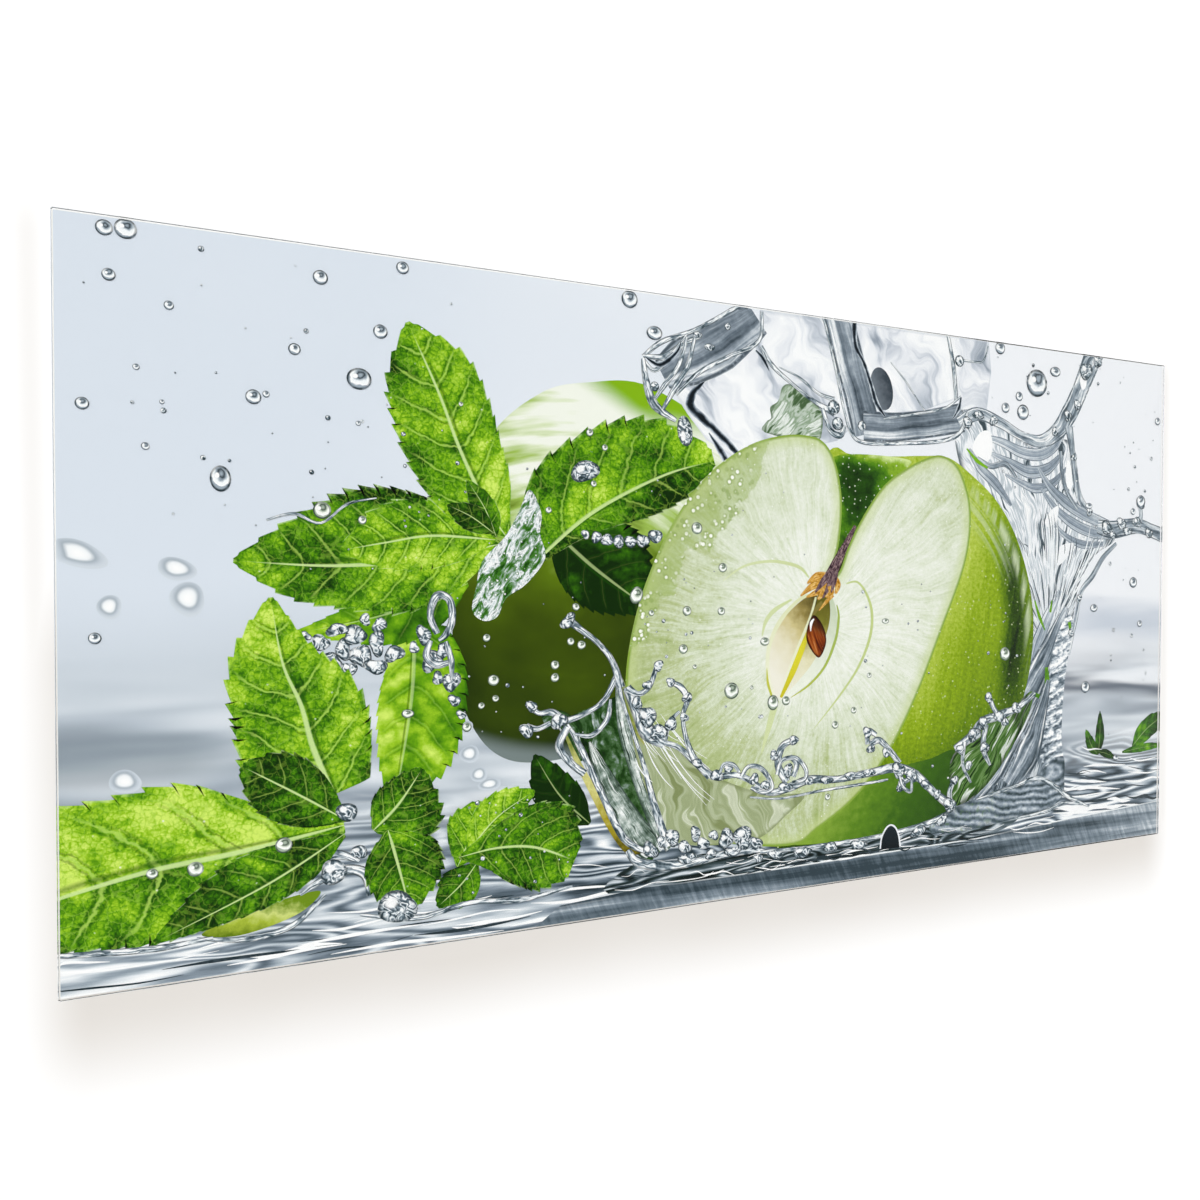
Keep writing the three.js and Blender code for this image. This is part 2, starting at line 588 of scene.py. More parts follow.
def make_leaf_ink(name="ink_leaf", blur=False):
    """Mint: a pale midrib, side veins that curve forward to the teeth, and a net of finer veins."""
    paint = Paint(name)
    u, v = paint.coordinates("form")
    x, y = paint.coordinates()
    tone, fold, vein = (paint.attribute(key) for key in ("tone", "fold", "vein"))
    crisp = 0.0 if blur else 1.0
    broad = paint.noise(paint.join(x, y), 0.10, 2.0)
    grain = paint.noise(paint.join(x, y), 0.45, 4.0, 0.62)
    fine = paint.noise(paint.join(x, y), 2.2, 3.0, 0.65)
    away = v.size()
    phase = (vein + (broad - 0.5) * 0.6 + (grain - 0.5) * 0.35).part()
    gap = 0.5 - (phase - 0.5).size()  # 0 on a side vein, 0.5 midway
    wide_net = paint.cells(paint.join(x + grain * 3.0, y + fine * 1.0), 0.55, "DISTANCE_TO_EDGE")
    net = paint.cells(paint.join(x + grain * 1.5, y + fine * 0.8), 1.15, "DISTANCE_TO_EDGE")
    light = tone + fold * (v.step(-0.05, 0.05) - 0.5) + (broad - 0.5) * 1.3
    light = light + (phase.step(0.02, 0.35) * phase.step(1.0, 0.5) - 0.5) * 0.14
    light = light + (grain - 0.5) * 0.95 + (fine - 0.5) * 0.55 * crisp
    light = light + (net.step(0.02, 0.16) - 0.6) * 0.14 * crisp - away.step(0.80, 1.0) * 0.06
    colour = light.ramp(
        (0.02, "0E2A04"), (0.20, "234F07"), (0.38, "3F7A0A"), (0.56, "66A10F"), (0.74, "9BC926"),
        (0.95, "D2EC6A")
    )
    share = tone * 0.9 + 0.15
    side = gap.step(0.058, 0.014) * away.step(1.0, 0.6) * (0.25 if blur else 1.0) * share
    crease = (gap - 0.095).size().step(0.05, 0.01) * away.step(1.0, 0.4) * (0.25 if blur else 0.50)
    colour = paint.mix(colour, "1F5205", crease)
    colour = paint.mix(colour, "B6DB62", side)
    web = wide_net.step(0.06, 0.015) * 0.50 * crisp * share
    colour = paint.mix(colour, "A2CE48", web)
    rib = (away * (u * 1.1 + 0.5)).step(0.045, 0.018) * u.step(1.0, 0.8)
    colour = paint.mix(colour, "CDE69A", rib * (0.5 if blur else 0.9))
    shadow = (v + 0.08).size().step(0.06, 0.0) * u.step(1.0, 0.7) * 0.6
    colour = paint.mix(colour, "1C4D05", shadow * (1.0 - rib))
    rim = away.step(0.955, 0.99) * grain.step(0.45, 0.60) * 0.5 * crisp
    colour = paint.mix(colour, "CDE7A2", rim)
    glint = paint.cells(paint.join(x, y), 0.8).step(0.15, 0.06) * grain.step(0.54, 0.66)
    return paint.finish(paint.mix(colour, "F2F7E6", glint * 0.8 * crisp))


def make_flesh_ink():
    """The cut face: white flesh rayed from the core, greener towards the skin, with a thin green rim."""
    paint = Paint("ink_flesh")
    x, y = paint.coordinates()
    edge = paint.attribute("edge")
    dx, dy = x - CORE[0], y - CORE[1]
    angle = dy.math("ARCTAN2", dx)
    away = (dx * dx * 0.8 + dy * dy).math("SQRT")
    bend = paint.noise(paint.join(x, y), 0.06, 2.0)
    rays = paint.noise(paint.join(angle * 11.0 + bend * 5.0, away * 0.035), 1.0, 4.0, 0.65)
    hair = paint.noise(paint.join(angle * 44.0 + bend * 9.0, away * 0.11), 1.0, 4.0, 0.7)
    near = paint.noise(paint.join(angle * 19.0 + bend * 6.0, away * 0.35), 1.0, 3.0, 0.7)
    mottle = paint.noise(paint.join(x, y), 0.22, 4.0, 0.6)
    grit = paint.noise(paint.join(x, y), 1.6, 3.0, 0.65)
    green = away.step(12.0, 44.0) * 0.24 + (rays - 0.5) * 0.65 + (hair - 0.5) * 0.75 + (mottle - 0.5) * 0.55
    green = green + (near - 0.5) * away.step(28.0, 12.0) * 0.75
    green = green + (grit - 0.5) * 0.5 + x.step(112.0, 80.0) * 0.30 - x.step(118.0, 140.0) * 0.04
    green = green + y.step(42.0, 14.0) * 0.22 - away.step(20.0, 12.0) * 0.10
    colour = (green + 0.27).ramp(
        (0.0, "F4F6EE"), (0.25, "E7ECDC"), (0.48, "D5DEC2"), (0.70, "BBC795"), (1.0, "96AA5C")
    )
    colour = paint.mix(colour, "C6D58F", edge.step(0.6, 0.05) * 0.6)
    colour = paint.mix(colour, "82A22F", edge.step(0.14, 0.04) * 0.9)
    stair = (x - 96.0).most(0.0) * 1.25
    ragged = (bend - 0.5) * 18.0 + (mottle - 0.5) * 14.0
    film = (y - 47.0 - (x - 80.0) * 0.85 - stair + ragged).step(-0.5, 0.5)
    colour = paint.mix(colour, "A3B96A", film * (0.30 + mottle * 0.45))
    beads = paint.cells(paint.join(x, y), 0.85)
    some = paint.noise(paint.join(x, y), 0.16, 2.0).step(0.38, 0.54) * film
    colour = paint.mix(colour, "879F52", beads.step(0.55, 0.40) * beads.step(0.24, 0.36) * some * 0.6)
    colour = paint.mix(colour, "FBFCF4", beads.step(0.34, 0.20) * some)
    dots = paint.cells(paint.join(x, y), 1.0).step(0.17, 0.06) * mottle.step(0.46, 0.60)
    return paint.finish(paint.mix(colour, "FFFFFF", dots * 0.75))


def make_skin_ink():
    """Green skin beside the cut face: rounder to the right, with pale pores and a dark reflection."""
    paint = Paint("ink_skin")
    x, y = paint.coordinates()
    dx, dy = (x - 128.0) / 36.5, (y - 43.0) / 36.0
    round_ = (dx * dx + dy * dy).math("SQRT")
    streak = paint.noise(paint.join(x * 0.5 - y * 0.12, y * 0.06), 1.0, 3.0, 0.6)
    fine = paint.noise(paint.join(x * 1.5 - y * 0.3, y * 0.22), 1.0, 2.0)
    grit = paint.noise(paint.join(x, y), 1.5, 4.0, 0.7)
    light = 0.58 - round_.step(0.62, 1.0) * 0.14 + (streak - 0.5) * 0.22 + (fine - 0.5) * 0.10
    light = light + (grit - 0.5) * 0.52 - y.step(36.0, 8.0) * 0.24 + y.step(46.0, 74.0) * 0.10
    light = light - x.step(136.0, 150.0) * y.step(48.0, 34.0) * 0.09
    face = x - 133.3 - (y - 27.7) * 0.42  # 0 along the cut rim's lower half
    light = light + face.step(9.0, 0.0) * 0.14 * y.step(20.0, 40.0)
    middle = (y - 46.0).size()
    band = (x - 160.0 + middle * 0.12).size().step(4.6, 0.2) * middle.step(22.0, 6.0)
    light = light - band * (0.33 + (streak - 0.5) * 0.8)
    colour = light.ramp(
        (0.0, "122508"), (0.2, "37550A"), (0.4, "64850B"), (0.58, "8FAC18"), (0.76, "B8CB50"), (1.0, "EAF0B8")
    )
    shine = (round_ - 0.965).size().step(0.045, 0.0) * dx.step(0.3, 0.8) * y.step(32.0, 50.0)
    colour = paint.mix(colour, "D5E2BC", shine * streak.step(0.40, 0.60) * 0.75)
    sheen = (round_ - 0.88).size().step(0.10, 0.0) * dx.step(0.35, 0.6)
    sheen = sheen * y.step(52.0, 60.0) * y.step(77.0, 70.0)
    lines = paint.noise(paint.join(round_ * 40.0, y * 0.05), 1.0, 3.0, 0.6).step(0.42, 0.62)
    colour = paint.mix(colour, "DCE6CC", sheen * lines * 0.35)
    pores = paint.cells(paint.join(x, y), 0.85).step(0.19, 0.07) * grit.step(0.42, 0.52)
    return paint.finish(paint.mix(colour, "E3EEBB", pores * 0.75))


def make_cavity_ink():
    """The stem cavity's skin: deep green where it is steep, with pale speckles."""
    paint = Paint("ink_cavity")
    x, y = paint.coordinates()
    edge = paint.attribute("edge")
    grain = paint.noise(paint.join(x, y), 0.5, 4.0, 0.65)
    across = x + y * 0.55
    fold = (across - 161.0).size().step(9.0, 0.0)
    light = 0.34 + edge.step(0.5, 0.0) * 0.16 + (grain - 0.5) * 0.8 - fold * 0.22
    light = light + y.step(73.0, 76.5) * 0.34 + across.step(164.0, 172.0) * 0.16
    colour = light.ramp((0.0, "0F2408"), (0.3, "28520F"), (0.52, "4F8413"), (0.75, "8DB32E"), (1.0, "D3E59A"))
    colour = paint.mix(colour, "33231F", y.step(63.0, 56.0) * 0.8)
    dots = paint.cells(paint.join(x, y), 1.1).step(0.22, 0.08) * y.step(59.0, 66.0)
    return paint.finish(paint.mix(colour, "E3EED4", dots * 0.8))


def make_whole_apple_ink():
    """The apple behind, out of focus: a bright swirl of light on top and deep green below."""
    paint = Paint("ink_whole_apple")
    x, y = paint.coordinates()
    dx, dy = x - 70.0, y - 52.0
    ring = (dx * dx * 0.50 + dy * dy).math("SQRT")
    sweep = paint.noise(paint.join(ring * 0.36, dy.math("ARCTAN2", dx) * 1.2), 1.0, 3.0, 0.55)
    soft = paint.noise(paint.join(x, y), 0.07, 3.0)
    top = y.step(52.0, 70.0)
    light = y.step(42.0, 80.0) * 0.80 + (sweep - 0.5) * (0.10 + top * 1.7) + (soft - 0.5) * 0.35 + 0.16
    light = light - x.step(56.0, 49.0) * 0.14 - y.step(34.0, 26.0) * 0.12
    colour = light.ramp(
        (0.0, "1E2E06"), (0.2, "3C4F07"), (0.40, "5B760E"), (0.64, "9FBE55"), (0.86, "DCE7C2"),
        (1.0, "F3F6EA")
    )
    right = (x + (ring - 30.0) * 2.0).step(72.0, 82.0) * y.step(76.0, 82.0)
    colour = paint.mix(colour, "84B416", right)
    rim = (dx * dx * 0.50 + dy * dy).math("SQRT").step(23.6, 26.4) * y.step(36.0, 30.0)
    return paint.finish(paint.mix(colour, "7F8C8C", rim * 0.85))


def make_water_ink(name):
    """Water drawn along a thin strip: bands of light that bend along it, between two dark edges."""
    deep, dark, middle, light, bright = "27363A", "5F6F79", "9AA8B1", "D3DBE0", "FFFFFF"
    paint = Paint(name)
    u, v = paint.coordinates("form")
    x, y = paint.coordinates()
    wobble = paint.noise(paint.join(x, y), 0.32, 2.0)
    field = paint.noise(paint.join(u * 0.21, v * 0.9 + wobble * 2.0), 1.0, 1.5, 0.5, 0.4)
    fine = paint.noise(paint.join(x, y), 1.5, 2.0, 0.6)
    tone = (field * 4.0 + v * 0.40).wave() * 0.52 + (fine - 0.5) * 0.50 + (wobble - 0.5) * 0.7 + 0.22
    colour = tone.ramp(
        (0.06, deep), (0.22, dark), (0.40, middle), (0.58, light), (0.76, bright), (0.98, light)
    )
    rim = v.size().step(0.55, 0.86)
    colour = paint.mix(colour, deep, rim * (0.45 + wobble.step(0.40, 0.6) * 0.45))
    glint = (v - 0.22).size().step(0.24, 0.06) * wobble.step(0.50, 0.56)
    return paint.finish(paint.mix(colour, bright, glint))


def make_stream_ink(name, *stops, across=5.0, along=0.07, bend=1.6):
    """A sheet or arm of water whose streaks run along its strip."""
    paint = Paint(name)
    u, v = paint.coordinates("form")
    x, y = paint.coordinates()
    wobble = paint.noise(paint.join(x, y), 0.16, 2.0)
    small = paint.noise(paint.join(x, y), 0.7, 3.0, 0.6)
    streak = paint.noise(paint.join(u * along, v * across + wobble * bend * 3.0), 1.0, 3.0, 0.6, 0.4)
    bands = (streak * 3.2 + wobble * 2.0).wave() * 0.20
    tone = (streak - 0.5) * 0.95 + 0.5 + bands - 0.10 + (wobble - 0.5) * 0.30 + (small - 0.5) * 0.40
    tone = tone + (0.45 - v.size()) * 0.10
    colour = tone.ramp(*stops)
    rim = v.size().step(0.82, 0.96) * small.step(0.35, 0.52)
    return paint.finish(paint.mix(colour, stops[0][1], rim * 0.85))


def make_hair_ink(name, *stops, across=4.0, along=0.025, bend=0.8):
    """Water or ice with long fine streaks along its strip and dark lines at its edges."""
    paint = Paint(name)
    u, v = paint.coordinates("form")
    x, y = paint.coordinates()
    wobble = paint.noise(paint.join(x, y), 0.09, 2.0)
    small = paint.noise(paint.join(x, y), 0.8, 2.0, 0.6)
    wide = paint.noise(paint.join(u * along, v * across * 0.35 + wobble * bend), 1.0, 2.0, 0.5, 0.3)
    hair = paint.noise(paint.join(u * along * 1.6, v * across + wobble * bend * 3.0), 1.0, 3.0, 0.65)
    tone = wide * 0.55 + hair * 0.75 - 0.15 + (small - 0.5) * 0.16 + (wobble - 0.5) * 0.35
    colour = tone.ramp(*stops)
    line = (v.size() - 0.90).size().step(0.10, 0.03) * small.step(0.36, 0.50)
    colour = paint.mix(colour, stops[0][1], line * 0.85)
    glow = (v.size() - 0.72).size().step(0.12, 0.02) * hair.step(0.48, 0.60)
    return paint.finish(paint.mix(colour, "FFFFFF", glow * 0.8))


def make_fan_ink(name, source, turns, deep, dark, middle, light, bright="FFFFFF", reach=0.05, lift=0.0):
    """A sheet of water whose streaks fan out from where it springs up. lift makes it lighter."""
    paint = Paint(name)
    x, y = paint.coordinates()
    edge = paint.attribute("edge")
    dx, dy = x - source[0], y - source[1]
    angle = dy.math("ARCTAN2", dx)
    away = (dx * dx + dy * dy).math("SQRT")
    wobble = paint.noise(paint.join(x, y), 0.12, 2.0)
    streak = paint.noise(paint.join(angle * turns + wobble * 3.0, away * reach), 1.0, 3.5, 0.6, 0.4)
    bands = (streak * 5.0 + wobble * 2.0).wave() * 0.20
    tone = (streak - 0.5) * 0.9 + 0.5 + bands - 0.10 + (wobble - 0.5) * 0.35 + lift
    colour = tone.ramp(
        (0.32, deep), (0.41, dark), (0.49, middle), (0.57, light), (0.66, bright), (0.85, middle)
    )
    return paint.finish(paint.mix(colour, deep, edge.step(0.30, 0.05) * streak.step(0.40, 0.55) * 0.8))


def make_drop_ink(name, rim="2E3A40", body="9FACB7", low="F4F8FA"):
    """A water drop: grey above, bright below, with a glint and a dark outline."""
    paint = Paint(name)
    u, v = paint.coordinates("form")
    x, y = paint.coordinates()
    away = (u * u + v * v).math("SQRT")
    bend = paint.noise(paint.join(x, y), 0.8, 2.0)
    lift_x, lift_y = u - 0.12, v - 0.34
    lens = (lift_x * lift_x + lift_y * lift_y).math("SQRT") + (bend - 0.5) * 0.7
    colour = lens.ramp((0.08, body), (0.30, rim), (0.46, body), (0.64, low), (0.92, "FFFFFF"), (1.0, body))
    colour = paint.mix(colour, rim, away.step(0.74, 0.90) * (0.50 + 0.5 * bend.step(0.35, 0.60)))
    glint_x, glint_y = u + 0.30, v - 0.24
    glint = (glint_x * glint_x + glint_y * glint_y).math("SQRT").step(0.26, 0.16)
    return paint.finish(paint.mix(colour, "FFFFFF", glint))


def make_bead_ink(name, outline="2B383D", shade="64747E", light="CBD4DA"):
    """A bead of water on the rim of the splash: bent bands of light inside a dark, broken outline."""
    paint = Paint(name)
    u, v = paint.coordinates("form")
    x, y = paint.coordinates()
    away = (u * u + v * v).math("SQRT")
    bend = paint.noise(paint.join(x, y), 0.6, 2.0)
    field = paint.noise(paint.join(x * 0.7 + bend * 1.4, y * 0.7 - bend), 1.0, 1.5, 0.5, 0.6)
    fine = paint.noise(paint.join(x, y), 1.8, 2.0, 0.6)
    tone = (field * 5.0 + away * 0.5).wave() * 0.62 + (fine - 0.5) * 0.6 + v * 0.06 + 0.13
    colour = tone.ramp(
        (0.08, outline), (0.26, shade), (0.44, "97A5AE"), (0.62, light), (0.78, "FFFFFF"), (0.98, light)
    )
    glint_x, glint_y = u + 0.3, v - 0.3
    glint = (glint_x * glint_x + glint_y * glint_y).math("SQRT").step(0.40, 0.22)
    colour = paint.mix(colour, "FFFFFF", glint * 0.9)
    rim = away.step(0.72, 0.93) * (0.35 + bend.step(0.38, 0.58) * 0.6)
    return paint.finish(paint.mix(colour, outline, rim))


def make_soft_drop_ink():
    """A drop far out of focus: a white middle and a grey ring that fades into the sky."""
    paint = Paint("ink_soft_drop")
    u, v = paint.coordinates("form")
    away = (u * u + v * v).math("SQRT")
    ring = away - (v * 0.16 - u * 0.08)
    colour = ring.ramp(
        (0.15, "FFFFFF"), (0.42, "F4F7F9"), (0.62, "A9B4BE"), (0.82, "C6CFD8"), (1.0, "D3DBE3")
    )
    return paint.finish(colour)


def make_ice_ink(name, turn, deep, dark, middle, light, scale=0.5):
    """A face of an ice cube: long cracks and reflections that run one way."""
    paint = Paint(name)
    x, y = paint.coordinates()
    edge = paint.attribute("edge")
    c, s = math.cos(math.radians(turn)), math.sin(math.radians(turn))
    along = x * c + y * s
    across = y * c - x * s
    wobble = paint.noise(paint.join(x, y), 0.10, 2.0)
    streak = paint.noise(paint.join(along * 0.05, across * scale + wobble * 3.0), 1.0, 4.0, 0.6, 0.5)
    colour = streak.ramp((0.32, deep), (0.42, dark), (0.50, middle), (0.60, light), (0.75, "FFFFFF"))
    return paint.finish(paint.mix(colour, dark, edge.step(0.25, 0.02) * 0.5))


def make_crack_ink():
    """A black crack in the ice, grey and soft towards its two edges."""
    paint = Paint("ink_ice_crack")
    _, v = paint.coordinates("form")
    x, y = paint.coordinates()
    wobble = paint.noise(paint.join(x, y), 0.5, 3.0)
    tone = v.size() + (wobble - 0.5) * 1.5
    colour = tone.ramp(
        (0.20, "141B21"), (0.42, "36414B"), (0.62, "76828E"), (0.85, "B4BEC8"), (1.0, "DDE3E8")
    )
    return paint.finish(colour)


def make_gradient_ink(name, *stops, turn=90.0, start=0.0, end=1.0, grain=0.4):
    """A colour gradient across the picture with some mottling: turn is its direction in degrees."""
    paint = Paint(name)
    x, y = paint.coordinates()
    c, s = math.cos(math.radians(turn)), math.sin(math.radians(turn))
    along = (x * c + y * s - start) / (end - start)
    mottle = paint.noise(paint.join(x * 0.6, y * 0.6), 1.0, 3.0, 0.6)
    return paint.finish((along + (mottle - 0.5) * grain).ramp(*stops))


# ---------------------------------------------------------------------------------------------------
# The picture
# ---------------------------------------------------------------------------------------------------
CORE = (114.0, 46.0)  # the middle of the apple's core
FACE_LEFT = [(116.6, 54.5), (118.2, 60), (118.9, 66), (118.6, 70.5), (117.4, 75), (115.2, 78)]
FACE_RIGHT = [(141.5, 77.3), (138, 76.7), (133, 74.4), (128, 71), (123.6, 65.5), (120.4, 60), (118.4, 55.4)]


def paint_backdrop():
    """The sky and the water, right across the panel."""
    width = (pane_high.x - pane_low.x) / UNIT
    corners = [(-3, -3), (width + 3, -3), (width + 3, 103), (-3, 103)]
    fill("print_backdrop", corners, 0, make_backdrop_ink(), cell=20.0)


def paint_whole_apple():
    """The whole apple behind the sprigs."""
    ink = make_whole_apple_ink()
    outline = smooth_line(
        [(49.6, 45), (50.6, 58), (55, 74), (63, 82), (71, 84.6), (82, 84.8), (95, 76), (100, 56), (92, 36),
         (74, 27.5), (62, 25.4), (55, 28), (50.6, 36)], closed=True
    )
    fill("print_whole_apple", outline, 1, ink, cell=6.0, soft=6.0)


def paint_far_leaves():
    """The small blurred leaves that float at the far right."""
    far = make_leaf_ink("ink_far_leaf", blur=True)
    small = [0.2, 1.0, 1.3, 1.1, 0.7, 0.1]
    thin = [0.2, 0.7, 0.9, 0.8, 0.5, 0.1]
    for number, (rib, widths) in enumerate([
        ([(182.5, 18), (183, 22), (183, 27)], small),
        ([(182.5, 18), (180.6, 20), (179, 23.4)], small),
        ([(182.5, 18.6), (185, 18), (187.6, 16.8)], thin),
        ([(189.5, 18), (196, 18.6), (203, 18.8)], thin),
        ([(192.5, 19), (197, 22.6), (203, 25.6)], [0.2, 1.8, 2.2, 2.2, 1.6, 0.8]),
    ]):
        layer = 1.8 + number * 0.02
        leaf(f"print_far_leaf_{number + 1}", layer, rib, widths, widths, teeth=4, tone=0.22, material=far)


def paint_mint_above():
    """The upper sprig, from its back leaves to the small ones at its heart."""
    far = bpy.data.materials["ink_far_leaf"]
    leaf("print_leaf_low_back", 2, [(44, 47), (43.5, 36), (41, 21)], [5, 7.6, 8.2, 8.0, 6.2, 1.0],
         [2, 3.6, 4.6, 4.2, 3, 0.6], tone=0.66, fold=-0.24, material=far)
    leaf("print_leaf_under", 2.5, [(52, 53), (40, 48.5), (28, 46)], [0.4, 4, 5, 4, 2, 0.3],
         [0.5, 3, 3.5, 3, 1.6, 0.3], tone=0.46, material=far)
    leaf("print_leaf_dark", 2, [(65, 61.5), (72, 55.5), (82, 48.6)], [1, 7, 9, 9, 6, 0.6],
         [0.5, 4.4, 6.0, 5.6, 3.4, 0.6], tone=0.06, fold=0.08, material=far)
    leaf("print_leaf_left_back", 3, [(57, 59), (45, 56.4), (33, 55.4), (20.2, 56)],
         [0.4, 5.2, 7.4, 6.2, 4.6, 0.3],
         [0.5, 8, 11, 10.4, 6.4, 0.3], teeth=15, veins=8, tone=0.42, fold=0.10)
    leaf("print_leaf_left_front", 5, [(56.5, 59.6), (47, 60), (40, 58.8), (34, 57.6)],
         [0.2, 3.4, 4.8, 4.6, 3.2, 0.3],
         [0.2, 3.6, 5.2, 5.8, 4.4, 0.3], teeth=11, veins=7, tone=0.56, fold=-0.05)
    leaf("print_leaf_right", 3, [(62.8, 56.5), (72, 64.2), (84, 70.6), (93.4, 73.6)],
         [5, 10.4, 11.6, 11.2, 8.4, 2.0],
         [0.6, 2.0, 3.8, 5.2, 4.6, 0.8], teeth=12, veins=6, tone=0.36, fold=0.26)
    leaf("print_leaf_up", 6, [(58, 60), (55, 64.5), (51, 73), (48, 81), (43.6, 90.8)],
         [0.4, 6.2, 7.8, 7.9, 6.3, 0.3],
         [1.0, 5.0, 6.3, 6.8, 5.8, 0.3], teeth=13, veins=7, tone=0.56, fold=-0.05)
    leaf("print_leaf_small_1", 7, [(56.4, 60), (54.6, 64.4), (52, 68.4)], [0.2, 1.6, 2.0, 1.8, 1.2, 0.1],
         [0.2, 1.5, 1.9, 1.7, 1.1, 0.1], teeth=5, veins=4, tone=0.22)
    leaf("print_leaf_small_2", 7.5, [(56, 60.6), (52.6, 63), (49, 64.6)], [0.2, 1.5, 2.1, 2.1, 1.4, 0.1],
         [0.2, 1.4, 1.8, 1.7, 1.1, 0.1], teeth=5, veins=4, tone=0.14)


def paint_mint_below():
    """The lower sprig, from the leaf at the left edge to the wet ones at its right end."""
    leaf("print_leaf_dim_1", 3, [(71, 15), (66, 20), (62, 26.6)], [0.4, 3, 4, 3.6, 2.4, 0.2],
         [0.4, 2.6, 3.4, 3, 2, 0.2], teeth=6, tone=-0.06, material=bpy.data.materials["ink_far_leaf"])
    leaf("print_leaf_big_left", 8, [(34, 18.6), (20, 16.2), (10, 15), (0, 12.8), (-10, 10)],
         [1.2, 7.4, 9.3, 9.6, 7.2, 6], [0.5, 5.4, 10.4, 10.8, 11.8, 11.5], teeth=15, veins=6, tone=0.62,
         fold=-0.30)
    leaf("print_leaf_low_lobe", 9.2, [(34, 17.3), (24, 11.4), (10, 5.4)], [0.5, 2.6, 3, 2.4, 1.5, 0.2],
         [0.5, 3.2, 5.2, 5, 3.2, 0.3], teeth=11, veins=7, tone=0.27, fold=0.05)
    leaf("print_leaf_below_up", 8.3, [(32.6, 23), (30, 30), (28.5, 36), (26.2, 42), (24.8, 51)],
         [3, 9.0, 9.2, 8.2, 5.2, 0.3], [5.6, 8.0, 8.4, 6.2, 3.2, 0.3], teeth=13, veins=6, tone=0.60,
         fold=0.16)
    leaf("print_leaf_below_small", 9.4, [(34.4, 19.2), (28.4, 23.2), (20.8, 28)],
         [0.3, 3.0, 4.4, 4.6, 3.6, 0.5],
         [0.3, 2.6, 4.2, 4.8, 3.8, 0.5], teeth=10, veins=5, tone=0.24, fold=0.06)
    leaf("print_leaf_knot", 9.6, [(38, 17.4), (41.6, 21), (45, 25.8)], [0.5, 3, 3.6, 3.2, 2.2, 0.4],
         [1, 5.2, 7.0, 6.4, 4.0, 0.4], teeth=8, veins=5, tone=0.33, fold=0.1)
    leaf("print_leaf_down", 9.7, [(40, 17.2), (41.6, 11), (43, 5.2)], [0.6, 5.4, 6.5, 6.2, 4.4, 1],
         [0.6, 3.6, 4.8, 4.6, 3.5, 1], teeth=9, veins=5, tone=0.34, fold=0.05)
    leaf("print_leaf_yellow", 8.5, [(50, 10.6), (52, 15), (53.6, 20.2)], [0.3, 2.4, 3.6, 4.0, 3, 0.4],
         [0.3, 2, 2.6, 2.6, 2, 0.4], teeth=7, veins=4, tone=0.52)
    leaf("print_leaf_bright", 9.8, [(51.4, 12.4), (56, 17.4), (62, 21)], [0.3, 2.4, 3.4, 3.4, 2.4, 0.2],
         [0.3, 1.6, 2.2, 2.2, 1.6, 0.2], teeth=9, veins=5, tone=0.54, fold=0.06)
    leaf("print_leaf_wet", 10, [(50.2, 12), (56, 12.8), (62, 12.2), (68.4, 9.4)],
         [0.3, 2.4, 4.8, 7.2, 7.4, 2.4],
         [0.3, 3.0, 5.6, 6.4, 6.0, 2.8], teeth=11, veins=6, tone=0.34, fold=0.06)
    leaf("print_leaf_end", 8.6, [(53, 11), (50.6, 8), (47, 5)], [0.3, 2, 3, 3, 2, 0.3],
         [0.3, 2, 3, 3, 2, 0.3], teeth=5, veins=4, tone=0.20)


def paint_apple_half():
    """The apple half: its skin, the stem cavity and the cut face."""
    skin = smooth_line(
        [(115.6, 76.2), (121, 76.3), (130, 76.5), (137, 77), (143, 77), (149, 73.8), (155, 69.2), (159.6, 63),
         (162.9, 55), (164.4, 47), (164.1, 39.5), (162, 31), (157, 21), (150, 13.5), (140, 9.5), (128, 7.5),
         (114, 6.9), (104, 8), (98, 20), (104, 60)], closed=True, steps=5
    )
    fill("print_apple_skin", skin, 8, make_skin_ink(), cell=6.0, soft=5.0)
    cavity = smooth_line(
        FACE_LEFT[:-1] + [(117.6, 75.8), (121, 76.4), (128, 76.5), (134, 76)] + FACE_RIGHT[2:], closed=True,
        steps=4
    )
    fill("print_stem_cavity", cavity, 9, make_cavity_ink(), cell=2.0, soft=4.0)
    outer = [
        (112.3, 79), (107, 78.8), (100, 76.6), (92.4, 71.4), (86, 63.5), (81, 53.6), (78.2, 44.5), (77.2, 36),
        (78.4, 27), (82, 18), (89, 11.5), (99, 8.4), (109, 7.4), (113.5, 9.6), (120, 13.3), (125, 17.5),
        (130.5, 24), (136, 33.2), (141.2, 44), (146.3, 55), (148.2, 62), (148.3, 68), (147, 72.4),
        (144.9, 75.8),
    ]
    face = smooth_line(FACE_LEFT + outer + FACE_RIGHT, closed=True, steps=5)
    fill("print_apple_face", face, 10, make_flesh_ink(), cell=1.6, soft=5.0)


